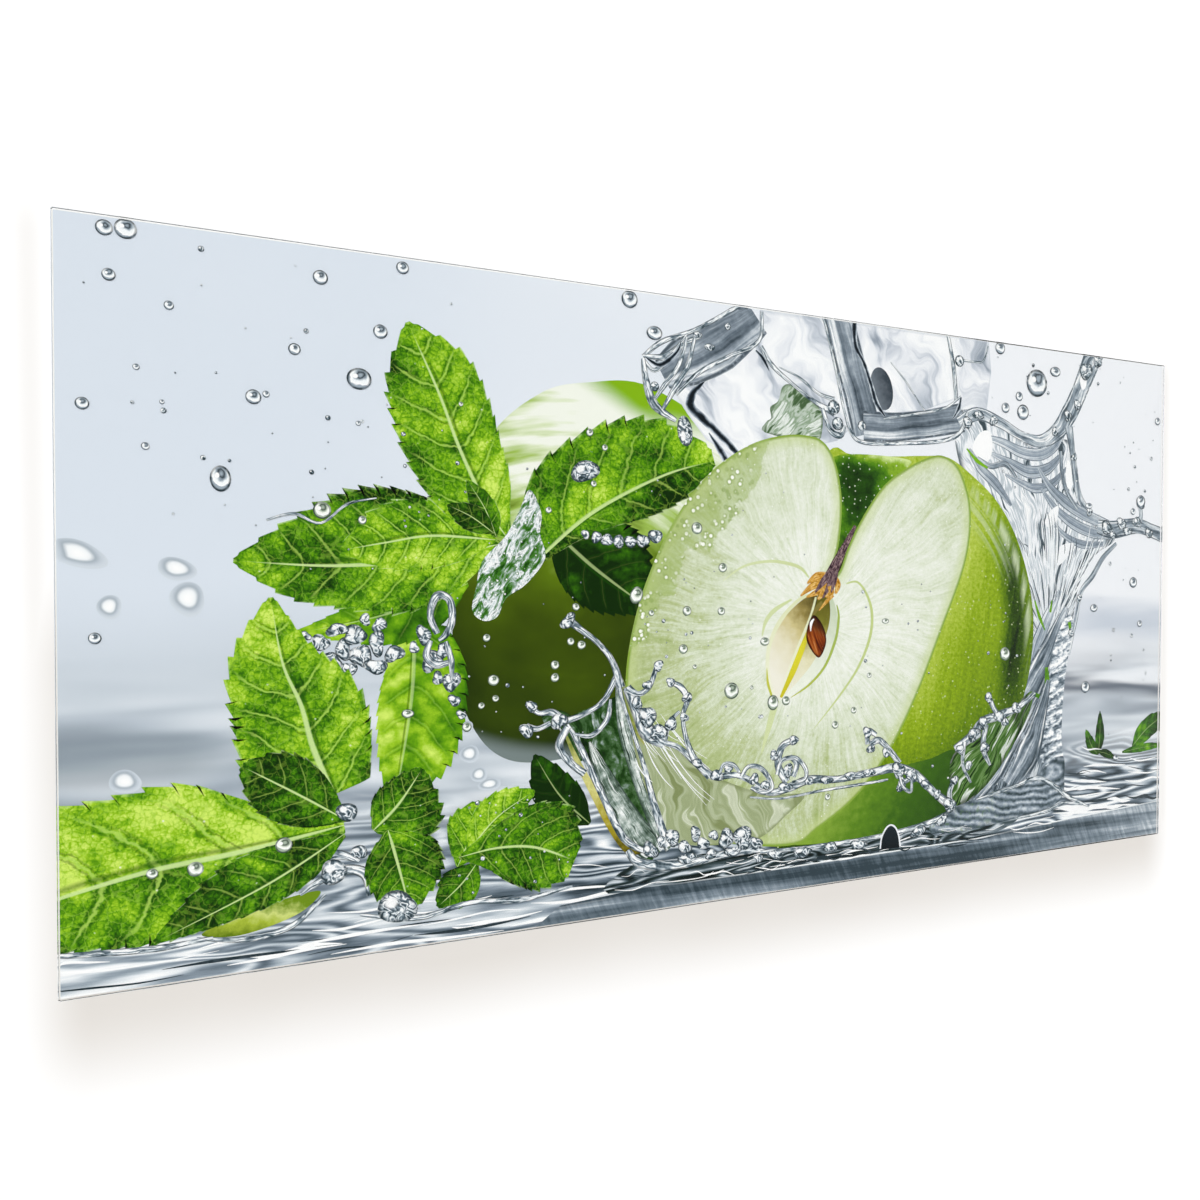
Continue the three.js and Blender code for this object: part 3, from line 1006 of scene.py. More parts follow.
def paint_core_lines():
    """The pale green lines that run through the flesh around the core."""
    line = make_gradient_ink("ink_core_line", (0.0, "D9E2B4"), (1.0, "C2D08A"), turn=0, start=95, end=125)
    strips(
        "print_core_lines", 11, line,
        ([(112, 54.2), (110.4, 55.8), (108, 56.6), (104, 57), (99, 56.1), (95, 53.6)],
         [0.2, 0.6, 0.6, 0.5, 0.4, 0.1]),
        ([(119.8, 53.2), (122.2, 53.5), (124.2, 51.4), (125.4, 48), (125, 43.6), (122.6, 38.4),
         (118.6, 33.4), (113, 27.6)],
         [0.2, 0.4, 0.5, 0.6, 0.6, 0.5, 0.4, 0.1]),
        ([(105.2, 33), (103.8, 28.5), (102.3, 24)], [1.4, 1.1, 0.2]),
        ([(108.4, 50.4), (105, 48.6), (103.2, 46.6), (102.5, 44.2)], [0.3, 0.8, 0.7, 0.2]),
    )
    green = make_gradient_ink("ink_core_green", (0.0, "C6C94E"), (1.0, "A3B85A"), turn=0, start=103, end=118)
    strips(
        "print_core_outline", 12.6, green,
        ([(117.8, 49.4), (118.2, 47.2), (117.5, 43.2), (115.3, 38.6), (112, 35.4), (108.2, 33.3)],
         [0.2, 0.5, 0.6, 0.5, 0.4, 0.1]),
        ([(103.4, 38.6), (103.6, 36), (104.5, 33.4)], [0.1, 0.5, 0.4]),
    )


def paint_chambers():
    """The two chambers of the core: cream below and deep olive above, with a yellow wall between them."""
    cream = make_gradient_ink(
        "ink_core_left", (0.0, "F1EEDF"), (0.35, "E6E0C2"), (0.6, "CFC28A"), (0.8, "96864A"), (1.0, "5A4F22"),
        turn=42, start=103, end=117.5, grain=0.35,
    )
    left = smooth_line(
        [(113.6, 51.2), (110.4, 50.2), (106.4, 46.6), (104.1, 42), (104, 37.2), (105.4, 33.3),
         (109.2, 40.2), (112.2, 46)],
        closed=True,
    )
    fill("print_core_left", left, 12, cream, cell=1.5)
    gold = make_gradient_ink(
        "ink_core_right", (0.0, "F0EEDA"), (0.35, "E2DDB6"), (0.58, "ACA352"), (0.8, "77752A"),
        (1.0, "625C1E"),
        turn=80, start=53, end=69, grain=0.35,
    )
    right = smooth_line(
        [(113.9, 51.4), (112.4, 46), (108.8, 39.6), (105.9, 33.2), (110, 35), (113.8, 38.4), (116.6, 43.4),
         (117.4, 48), (116.2, 51.6)], closed=True
    )
    fill("print_core_right", right, 12, gold, cell=1.5)
    rim = make_gradient_ink("ink_core_rim", (0.0, "F3F4DC"), (1.0, "D9DEAE"), turn=90, start=34, end=54)
    strips(
        "print_core_rims", 13, rim,
        ([(113.6, 51.4), (110, 50.4), (106, 46.6), (103.8, 42), (103.7, 37), (105.3, 32.6)],
         [0.4, 0.6, 0.8, 0.8, 0.7, 0.3]),
        ([(113.4, 50.8), (112.1, 47), (109, 40.6), (105.8, 33.4)], [0.4, 0.5, 0.6, 0.3]),
    )
    wall = make_gradient_ink(
        "ink_core_wall", (0.0, "F2F5E8"), (1.0, "C7D3B6"), turn=90, start=34, end=50, grain=0.7
    )
    strips(
        "print_core_wall", 13.2, wall,
        ([(116.2, 51.6), (117.1, 48), (116.5, 44), (114.2, 39.6), (110.8, 36), (106.4, 33)],
         [0.4, 1.4, 1.9, 2.0, 1.7, 0.4]),
    )
    yellow = make_gradient_ink(
        "ink_core_membrane", (0.0, "C3B926"), (0.5, "DFD638"), (1.0, "A89C2C"), turn=62, start=78, end=98
    )
    strips(
        "print_core_membrane", 13.5, yellow,
        ([(112.4, 46.2), (110.5, 41.8), (108.6, 37.8), (106.2, 33.4)], [0.2, 1.2, 1.2, 0.5]),
    )
    shade = make_gradient_ink("ink_core_shade", (0.0, "5B4F22"), (1.0, "857A3C"), turn=90, start=38, end=50)
    strips("print_core_shade", 13.7, shade, ([(114.8, 49.8), (113.4, 48.6), (112.2, 46.4)], [0.9, 0.8, 0.2]))


def paint_seed():
    """The seed: orange brown below, nearly black above, with a glint."""
    outline = smooth_line(
        [(112.8, 47.6), (111.6, 45.4), (111.6, 42.8), (113.9, 40.1), (115.4, 42.2), (115.4, 44.4),
         (114.3, 46.6)],
        closed=True, steps=6,
    )
    paint = Paint("ink_seed")
    x, y = paint.coordinates()
    edge = paint.attribute("edge")
    streak = paint.noise(paint.join((x + y * 0.45) * 2.2, y * 0.25), 1.0, 3.0)
    brown = streak.ramp((0.30, "4A1A0A"), (0.45, "7E3510"), (0.58, "A8561F"), (0.70, "CC8A4E"))
    brown = paint.mix(brown, "1E0A07", (y + x * 0.5 + streak * 3.0).step(102.0, 104.6) * 0.85)
    ink = paint.finish(paint.mix(brown, "1E0A05", edge.step(0.5, 0.1) * 0.8))
    fill("print_seed", outline, 14, ink, cell=0.6, soft=1.0)
    glint = make_gradient_ink("ink_seed_glint", (0.0, "E9C9A5"), (1.0, "FFFFFF"), start=40, end=46)
    strips("print_seed_glint", 15, glint, ([(113, 47), (112.4, 46.2), (112.3, 44.8)], [0.2, 0.6, 0.1]))


def make_fibre_ink(name, *stops):
    """Dry fibres that run along a strip."""
    paint = Paint(name)
    u, v = paint.coordinates("form")
    x, y = paint.coordinates()
    fibre = paint.noise(paint.join(u * 0.5, v * 5.0), 1.0, 3.0, 0.65)
    grain = paint.noise(paint.join(x, y), 2.2, 2.0)
    return paint.finish(((fibre - 0.5) * 1.3 + (grain - 0.5) * 0.5 + 0.52).ramp(*stops))


def paint_stem():
    """The stem's foot: dark fibres that spread into an ochre fringe above the core."""
    fringe = make_fibre_ink(
        "ink_fringe", (0.34, "7A4A10"), (0.46, "BC7F1E"), (0.58, "E0AC48"), (0.74, "F6E2A6")
    )
    strips(
        "print_stem_fringe", 13.9, fringe,
        ([(116, 54.6), (113.6, 54.5), (111.6, 53.2)], [1.2, 1.4, 0.3]),
        ([(115.6, 53.6), (112.8, 52.8), (110.2, 51)], [1.3, 1.4, 0.2]),
        ([(115.4, 52.6), (113.4, 51.6), (111.4, 50.8)], [1.2, 1.1, 0.2]),
        ([(115.8, 52.6), (114.8, 51.4), (113.8, 50.4)], [1.2, 1.1, 0.4]),
        ([(117, 54.6), (118, 53), (117.5, 51.4)], [1.2, 1.3, 0.4]),
        ([(116.4, 52.8), (116.6, 51.6), (115.4, 50.8)], [1.2, 1.2, 0.4]),
        ([(117, 51.2), (115.6, 50), (114, 48.4)], [0.7, 0.7, 0.15]),
    )
    bark = make_fibre_ink("ink_stem", (0.32, "1E1418"), (0.45, "46313A"), (0.56, "735A62"), (0.70, "AE938E"))
    strips(
        "print_stem", 14, bark,
        ([(121.8, 63.6), (119.6, 60), (117.8, 57), (116.4, 54.4), (115.2, 52)], [0.6, 1.3, 1.9, 2.4, 1.2]),
        ([(117, 55.6), (115, 53.6), (113.2, 51.6)], [1.6, 1.3, 0.2]),
        ([(117.2, 55.2), (116.2, 52.8), (114.8, 50.6)], [1.6, 1.2, 0.2]),
        ([(117.6, 55.4), (117.2, 53.4), (116.6, 51.6)], [1.2, 1.0, 0.2]),
    )


def paint_ice():
    """Two ice cubes above the apple: pale faces, grey thick edges and a few black cracks."""
    pale = make_ice_ink("ink_ice_pale", -58, "8893A0", "C3CAD4", "E9ECF1", "FAFBFC", scale=0.16)
    face = [(86, 84.4), (91, 89.4), (96, 91.8), (101.6, 94), (102.2, 100), (115.4, 100), (118, 91),
            (120.4, 80.6), (118, 78.6), (110, 76.5), (98, 74), (92, 77), (88.5, 81)]
    fill("print_ice_face", face, 2.2, pale, cell=3.0, soft=1.5)
    window = [(121.4, 100), (143, 100), (144.4, 94), (144.8, 88.2), (137, 85.4), (128, 84), (125, 90),
        (122, 95.6)]
    fill("print_ice_window", window, 2.4, pale, cell=3.0, soft=1.2)
    side = [(143.2, 100), (152.8, 100), (153.4, 94), (152.2, 86), (147, 85), (145, 89)]
    fill("print_ice_side", side, 2.6, pale, cell=3.0, soft=1.2)
    steel = make_hair_ink(
        "ink_ice_steel", (0.32, "3D4851"), (0.42, "67737E"), (0.50, "84909B"), (0.58, "AFB9C2"),
        (0.67, "F0F3F5"), (0.80, "8E9AA5"), across=2.4, along=0.022, bend=0.4,
    )
    strips(
        "print_ice_bars", 3.4, steel,
        ([(84, 87), (88.4, 89.6), (94.6, 93), (101.6, 98.4)], [5.0, 8.6, 8.8, 6.4]),
        ([(118, 101), (120.4, 93.6), (122.6, 86.6), (124.4, 80.2)], [6.4, 6.4, 6.2, 6.4]),
        ([(123.6, 81.6), (130, 81.8), (138, 83), (146.4, 84.8)], [5.6, 5.4, 5.2, 5.6]),
    )
    edges = [
        ([(80.6, 89.6), (84, 92.4), (90, 95), (97, 99.2), (99, 101)], [0.7, 0.9, 0.7, 0.8, 0.6]),
        ([(80.6, 89.8), (84.4, 90), (88, 92.6), (91, 94)], [0.5, 1.2, 1.0, 0.5]),
        ([(80.6, 89.4), (82.6, 87.6), (85.6, 90.4), (88.4, 94)], [0.4, 0.8, 0.8, 0.4]),
        ([(80.6, 89.3), (81.2, 85.4), (82.6, 82), (86.4, 79.8)], [0.7, 1.3, 1.6, 0.8]),
        ([(88.4, 93.6), (87, 89), (84.4, 85.4), (82.6, 83)], [0.5, 0.9, 0.9, 0.5]),
        ([(90, 94.4), (88.6, 89), (86.4, 85.4), (84, 81.4)], [0.5, 1.0, 1.1, 0.6]),
        ([(102.6, 99.5), (102, 94.4), (96.6, 91.4), (90.6, 88), (86.4, 84)], [0.6, 0.7, 0.8, 0.8, 0.5]),
        ([(102.4, 93.6), (104.6, 90.6), (108.6, 87.8), (113, 85.2), (117.4, 83.4)],
         [0.8, 0.9, 0.7, 0.8, 1.4]),
        ([(106, 90.4), (110, 89), (114, 86.6), (117.4, 85.8)], [0.2, 0.5, 0.6, 1.0]),
        ([(114.8, 84), (116.4, 80.4), (118.6, 79.6), (119.6, 81.4)], [0.9, 1.1, 1.3, 0.6]),
        ([(142.8, 100), (144.2, 94), (144.8, 88)], [0.7, 1.0, 0.9]),
        ([(119.4, 84), (121, 80), (124, 78.6), (132, 79), (141, 80), (145.6, 81.8), (147.6, 86)],
         [0.5, 0.7, 0.8, 0.7, 0.8, 0.9, 0.7]),
        ([(128, 83.2), (136, 84.8), (142, 86.2), (146, 88.8)], [0.4, 0.5, 0.5, 0.4]),
        ([(129.6, 93.6), (133, 90.4), (135.6, 87.4), (137.4, 85.4)], [0.2, 0.35, 0.3, 0.3]),
        ([(115, 100), (117.4, 92), (119.4, 84)], [0.5, 0.6, 0.5]),
        ([(146, 95.6), (149, 95.6), (151.4, 96), (152.6, 99)], [0.5, 0.5, 0.4, 0.4]),
    ]
    strips("print_ice_edges", 4.2, water_ink, *edges)
    strips(
        "print_ice_cracks", 4.4, make_crack_ink(),
        ([(91.6, 86.6), (89.6, 84.6), (89, 82.4), (91.4, 80.4), (95, 77.6), (98.4, 74.6)],
         [0.2, 1.3, 1.7, 1.5, 1.3, 0.9]),
        ([(92.4, 78.2), (94.4, 75.6), (96.4, 72.6)], [0.2, 1.2, 1.4]),
        ([(121.6, 101), (121.8, 96), (123.6, 93), (125.2, 89.2), (126.4, 86), (128.4, 83.6)],
         [1.1, 1.0, 0.7, 0.9, 1.1, 0.3]),
        ([(81, 89.6), (83.6, 88.6), (86.6, 91), (87.4, 93)], [0.1, 1.0, 0.7, 0.1]),
        ([(101.4, 92.8), (102.8, 91.6), (104, 89.6)], [0.5, 0.8, 0.2]),
        ([(144, 84.4), (145.4, 86.4), (146, 88.6)], [0.2, 1.0, 0.3]),
    )
    shade = make_gradient_ink(
        "ink_ice_bubble", (0.0, "3A434C"), (1.0, "98A2AC"), turn=200, start=-152, end=-144, grain=0.5
    )
    discs("print_ice_bubble", 4.6, shade, [(127.6, 88.6, 3.9, 0.62, 104)])


def paint_ice_block():
    """What shows through the left cube: a green tint with a ragged edge, and the drop that hangs from it."""
    tint = make_fan_ink(
        "ink_ice_tint", (100, 74), 11.0, "47623F", "7A9372", "A3B69F", "C6D1C6", bright="F2F6F2", reach=0.16
    )
    ragged = smooth_line(
        [(103.2, 79), (103.4, 80.8), (104.4, 81.6), (104.2, 83.4), (105.8, 84.6), (106.6, 87), (108.4, 87.6),
         (111.6, 85.6), (114.4, 83.8), (114.8, 80.4), (113, 78)], closed=True, steps=4
    )
    fill("print_ice_tint", ragged, 2.8, tint, cell=1.6, soft=1.0)
    discs(
        "print_ice_beads", 4.8, bead_ink,
        [(88, 78.2, 2.5, 0.55, 98), (117.2, 84.4, 1.3), (92.6, 92.4, 1.0, 0.6), (96, 96.2, 0.6),
         (90.4, 94.2, 0.9, 0.6), (145.6, 95.4, 1.1), (82.6, 85, 0.8), (123.2, 81.6, 0.9), (118, 81.6, 1.2)],
    )


def paint_splash_behind():
    """The splash to the right: a white sheet with fine dark streaks, its grey rims and its two arms."""
    sheet = make_fan_ink(
        "ink_sheet", (168, 40), 19.0, "3B4950", "85939D", "C6CFD6", "F3F5F8", reach=0.06, lift=0.03
    )
    outline = smooth_line(
        [(144, 84), (148, 86.5), (153, 86), (158.5, 83.6), (163.5, 80.5), (168, 80), (172, 82.4), (175.3, 81),
         (176.6, 74.5), (178, 69.8), (182, 65.5), (187, 62.6), (181, 59), (176.8, 53), (175.4, 47),
         (174.2, 40), (172.4, 33), (171.7, 26), (171.8, 19), (170, 12.5), (164, 9), (154, 8.5),
         (148, 10.5), (149, 22), (157, 32), (158, 56), (148, 70)], closed=True, steps=4
    )
    fill("print_sheet_behind", outline, 3.0, sheet, cell=4.0, soft=2.0)
    rim = make_hair_ink(
        "ink_splash_rim", (0.30, "33414A"), (0.40, "687681"), (0.48, "9AA7B1"), (0.56, "CCD4DA"),
        (0.64, "FFFFFF"), (0.80, "8C99A4"),
        across=3.0, along=0.09, bend=2.2,
    )
    hair = make_hair_ink(
        "ink_splash_hair", (0.30, "55636E"), (0.42, "8693A0"), (0.50, "A3AFBA"), (0.58, "C9D1D8"),
        (0.68, "F6F8FA"), (0.80, "B4BEC7"),
        across=5.0, along=0.03, bend=1.0,
    )
    strips(
        "print_splash_hair", 4.4, hair,
        ([(151, 81.6), (156, 80.8), (161, 79.2), (166, 79), (170, 81), (173, 85)],
         [0.6, 1.8, 2.4, 2.6, 2.2, 1.0]),
        ([(153, 78.6), (158, 77), (163, 75.4), (168, 76.2), (172, 79.4)], [0.5, 1.8, 2.6, 2.4, 0.8]),
        ([(157, 74.6), (161, 73.2), (165, 72.2), (169.4, 73.4), (173.6, 77)], [0.4, 1.4, 2.0, 1.8, 0.5]),
        ([(165.6, 76.4), (168.8, 72.6), (173, 69.8), (178.6, 67.4), (185, 65.6)], [0.6, 1.8, 2.6, 2.6, 2.0]),
        ([(166.4, 72.4), (170, 68.6), (175, 65.6), (181, 63.8), (187, 63.6)], [0.5, 1.6, 2.4, 2.4, 1.6]),
        ([(168, 67.6), (172, 63.6), (177.6, 61.4), (183.6, 61.6)], [0.3, 1.2, 1.8, 1.0]),
        ([(148, 79), (150.6, 75.6), (154.6, 72.6), (158.6, 68.6)], [0.6, 2.0, 2.2, 0.6]),
        ([(171.6, 52), (168.4, 46.8), (165.6, 41.4), (163.4, 35)], [0.8, 2.6, 3.2, 1.2]),
        ([(172.2, 45.4), (167.4, 38.6), (161.4, 30.6), (155.6, 24)], [2.6, 5.0, 4.6, 3.4]),
    )
    strips(
        "print_splash_arms", 4.5, rim,
        ([(145.6, 83.6), (150, 85.8), (156, 84.4), (161, 82.4), (166, 81.6), (170.4, 83.6), (173.8, 87.6),
         (176.8, 92.6), (181, 101)],
         [3.0, 2.6, 2.2, 2.0, 2.6, 3.6, 4.2, 4.2, 5.0]),
        ([(173.8, 85), (174.8, 80), (175.6, 75), (177, 70.6), (180, 67)], [2.2, 1.5, 1.5, 1.8, 2.4]),
        ([(171.6, 80), (172, 75.6), (173.4, 71.8), (176.4, 68.6)], [0.8, 1.0, 1.1, 0.8]),
        ([(182, 65.2), (186, 64.6), (190, 65.2), (194, 65.6), (197.6, 64.8), (202, 63.6)],
         [3.0, 3.8, 3.6, 3.2, 3.0, 3.4]),
        ([(193.6, 65.8), (194.6, 67.6), (194.4, 69.8)], [2.4, 1.2, 1.0]),
        ([(187.4, 61.8), (183.6, 58.8), (180.6, 55), (177.4, 51.6), (176, 46), (174, 39)],
         [0.8, 1.1, 1.3, 1.1, 1.0, 0.8]),
        ([(150, 77.4), (153.4, 76), (157, 76.6), (160, 74)], [0.7, 1.2, 1.2, 0.6]),
    )


def paint_splash_windows():
    """Where the sky shows through the splash, the fine lines that fan out in it and bits of green."""
    clear = make_gradient_ink("ink_clear", (0.0, "EEF1F5"), (1.0, "FFFFFF"), start=40, end=80)
    windows = [
        [(148.8, 79.4), (150.6, 82.2), (153, 82.6), (153.8, 79.6), (152.6, 76.8), (150, 77.4)],
        [(173, 75.8), (173.6, 78.4), (174.6, 76.4), (174.6, 72.6), (173.4, 73)],
        [(168.6, 67.6), (171, 69), (170.6, 66.2), (168.6, 64.6), (167.4, 65.6)],
        [(171, 60.6), (175.4, 61.6), (173.6, 58.8), (170.8, 57)],
        [(176.8, 95), (178.4, 97), (178.6, 93.8), (177.4, 92.8)],
    ]
    for number, places in enumerate(windows):
        outline = smooth_line(places, closed=True, steps=4)
        fill(f"print_splash_window_{number + 1}", outline, 5, clear, cell=3.0)
    dark = make_gradient_ink("ink_line_dark", (0.0, "2A373D"), (1.0, "66747E"), start=0, end=100, grain=1.5)
    white = make_gradient_ink("ink_line_white", (0.0, "FFFFFF"), (1.0, "E6ECF0"), start=0, end=100, grain=1.0)
    fan_lines("print_fan_dark_low", 5.2, dark, (168, 42), (50, 126), (5, 9), (11, 15), 18, 0.42, 11, curl=4)
    fan_lines(
        "print_fan_dark_high", 5.25, dark, (168, 42), (54, 134), (14, 20), (20, 27), 24, 0.42, 15, curl=4
    )
    fan_lines("print_fan_white", 5.4, white, (168, 42), (50, 128), (6, 18), (12, 28), 30, 0.55, 12, curl=5)
    green = make_gradient_ink("ink_green_bits", (0.0, "2C6A0F"), (1.0, "7CB51F"), start=20, end=60, grain=1.2)
    strips(
        "print_green_bits", 6, green,
        ([(164.8, 50), (166.2, 46.6), (167.6, 44)], [0.3, 0.8, 0.2]),
        ([(168, 36.6), (168.2, 34), (167.6, 32)], [0.8, 1.3, 0.3]),
        ([(174.2, 45.6), (174.6, 43.4)], [0.9, 0.6]),
        ([(164, 31.6), (166.2, 30.8)], [0.6, 1.0]),
        ([(169.4, 50), (169, 47.6)], [0.4, 0.6]),
        ([(147.4, 79), (150, 76.8), (152.6, 75.6)], [0.3, 0.8, 0.4]),
    )


def paint_splash_foot():
    """Where the splash leaves the water: grey folds on the right and green skin seen through on the left."""
    middle = make_fan_ink(
        "ink_foot", (176, 60), 42.0, "2E3C44", "56646D", "78858F", "9CA8B2", bright="E4E9ED", reach=0.05
    )
    outline = smooth_line(
        [(173.6, 49), (171.4, 43), (169.4, 35), (167.6, 26), (168.6, 17), (160, 12.5), (150, 11),
         (146, 13.5), (151.6, 21), (158, 29.6), (163.4, 37), (169, 44)], closed=True, steps=4
    )
    fill("print_splash_foot", outline, 5.85, middle, cell=2.6, soft=1.0)
    streaks = make_hair_ink(
        "ink_foot_streaks", (0.32, "2E3C44"), (0.43, "596771"), (0.51, "7F8C97"), (0.59, "A9B4BE"),
        (0.69, "F4F7F9"), (0.84, "75828D"), across=4.5, along=0.06, bend=1.6,
    )
    strips(
        "print_foot_streaks", 5.87, streaks,
        ([(173.4, 48.6), (169.6, 41.6), (164.8, 34), (159.6, 26), (153.6, 17.6), (149, 12.4)],
         [1.6, 4.4, 6.4, 7.0, 7.4, 4.0]),
        ([(168.6, 34), (166.4, 27), (163.4, 20), (158.6, 13.4)], [1.0, 3.4, 6.4, 5.4]),
    )
    ladder = smooth_line(
        [(174.6, 47), (175.2, 44), (173.6, 37), (172.6, 30), (172.2, 22), (172.6, 17.6), (169, 16.4),
         (166.4, 18.6), (167, 25), (168.2, 32), (169.8, 40), (172.6, 46)], closed=True, steps=4
    )
    fill("print_splash_ladder", ladder, 5.9, make_ladder_ink(), cell=4.0)
    through = make_fan_ink(
        "ink_green_water", (172, 44), 26.0, "0E2506", "26490F", "456F28", "6F9154", bright="EDF3EC",
        reach=0.06
    )
    seen = smooth_line(
        [(144, 20.4), (149, 23.6), (153, 27), (159, 29), (164, 32), (163.6, 28), (158.6, 20.6), (153, 14.6),
         (147.6, 11.4), (143.6, 11.2), (143.4, 15.6)], closed=True, steps=4
    )
    fill("print_green_water", seen, 12.4, through, cell=4.0)
    shade = make_gradient_ink(
        "ink_shaded_skin", (0.0, "86A83A"), (0.3, "5C861E"), (0.6, "3B6414"), (1.0, "274A0E"),
        turn=-35, start=87, end=112, grain=0.5,
    )
    below = smooth_line(
        [(108, 7.6), (113, 10), (119, 13.6), (125, 17.6), (132, 19.4), (139, 20.4), (145, 21.6),
         (150, 17), (148, 12.6), (140, 9.2), (130, 7.6), (118, 7)], closed=True, steps=4
    )
    fill("print_shaded_skin", below, 8.4, shade, cell=4.0)
    skirt = smooth_line(
        [(139, 8.6), (144, 10.2), (150, 11.8), (157, 13.4), (164, 14.4), (168.6, 17), (172.6, 18.4),
         (173, 14.4), (172.4, 10), (168, 8), (160, 7), (150, 6), (140, 5.6)], closed=True, steps=4
    )
    fill("print_skirt", skirt, 14.3, make_skirt_ink(), cell=3.0, soft=1.0)


def paint_crown():
    """The glassy left side of the crown of water in front of the apple."""
    glass = make_stream_ink(
        "ink_crown", (0.34, "0B200A"), (0.44, "1F4214"), (0.52, "47683F"), (0.60, "8FA19A"),
        (0.70, "F0F4F6"), (0.85, "6A7D80"),
        across=2.2, along=0.05, bend=1.0,
    )
    silver = make_stream_ink(
        "ink_crown_silver", (0.34, "2A3A30"), (0.43, "5E7264"), (0.50, "93A39B"), (0.57, "D5DDD8"),
        (0.64, "FFFFFF"), (0.78, "7E8F88"),
        across=2.6, along=0.05, bend=1.2,
    )
    strips(
        "print_crown_sheet", 12, glass,
        ([(71.6, 33.6), (73.6, 28), (76, 21), (79.4, 13.6), (83, 9)], [8.4, 8.8, 8.0, 6.4, 5.0]),
        ([(63.6, 31.4), (66, 32), (68.4, 29.4), (69.4, 25)], [2.4, 2.6, 3.2, 1.6]),
    )
    strips(
        "print_crown_silver", 12.2, silver,
        ([(71, 28), (73.6, 22), (77.4, 15), (82, 9.4)], [0.4, 3.0, 4.6, 4.4]),
        ([(75.8, 37), (76.8, 30), (79.6, 22), (83, 14), (85.6, 10)], [0.6, 2.0, 3.0, 3.6, 3.4]),
    )


def paint_crown_film():
    """The thin film of water over the foot of the cut face, with its olive edge and its folds."""
    film = make_fan_ink(
        "ink_film", (72, 50), 13.0, "84905F", "97A377", "A6B189", "B4BE9B", bright="D6DCC4", reach=0.02
    )
    sheet = smooth_line(
        [(76.4, 38), (78.6, 33.6), (81.6, 29.4), (86, 26.4), (90, 23.2), (94, 20.4), (99.6, 18),
         (104, 16.6), (111, 16), (107, 12.6), (102, 9.4), (95, 9), (88.6, 9.6), (84.4, 11.4), (82, 16),
         (79, 25)],
        closed=True, steps=5,
    )
    fill("print_crown_film", sheet, 13, film, cell=2.5, soft=1.6)
    olive = make_gradient_ink("ink_olive", (0.0, "4A4412"), (0.3, "A89A2A"), (0.6, "D8D488"),
        (1.0, "7F8B3C"), start=8, end=30, grain=0.7)
    strips(
        "print_crown_edge", 13.5, olive,
        ([(67, 29.6), (68.8, 25.4), (71.6, 20), (74.6, 14), (77.6, 10.2), (80, 9.6)],
         [0.3, 0.9, 1.3, 1.2, 1.7, 0.6]),
        ([(76.8, 35), (78.6, 30), (80.4, 27)], [0.2, 0.7, 0.3]),
    )
    white = bpy.data.materials["ink_line_white"]
    fan_lines(
        "print_crown_white", 13.8, white, (73.4, 46), (280, 306), (14, 22), (22, 36), 16, 0.26, 22, curl=5
    )
    strips(
        "print_crown_folds", 14.2, water_ink,
        ([(67.4, 31), (69.6, 27), (73, 19.6), (76.8, 12), (81.6, 9)], [0.5, 1.1, 1.2, 1.3, 0.8]),
        ([(75.6, 37.8), (77.4, 32), (80, 24.6), (82.4, 16), (84.6, 9.8)], [1.0, 0.6, 0.8, 1.4, 1.6]),
        ([(66.6, 31.4), (70, 32.4), (73.4, 34.4), (75.6, 38.2)], [1.2, 0.8, 0.9, 1.0]),
        ([(68.6, 29.4), (71.4, 29), (74, 31.4), (74.6, 34.6)], [0.4, 0.8, 1.0, 0.5]),
        ([(67.4, 30.6), (66, 27.6), (68, 24.8), (70.2, 23)], [1.2, 1.4, 1.2, 1.2]),
        ([(77.4, 36.4), (79.4, 32), (81, 29), (84, 26.8)], [1.4, 2.0, 3.0, 1.6]),
    )


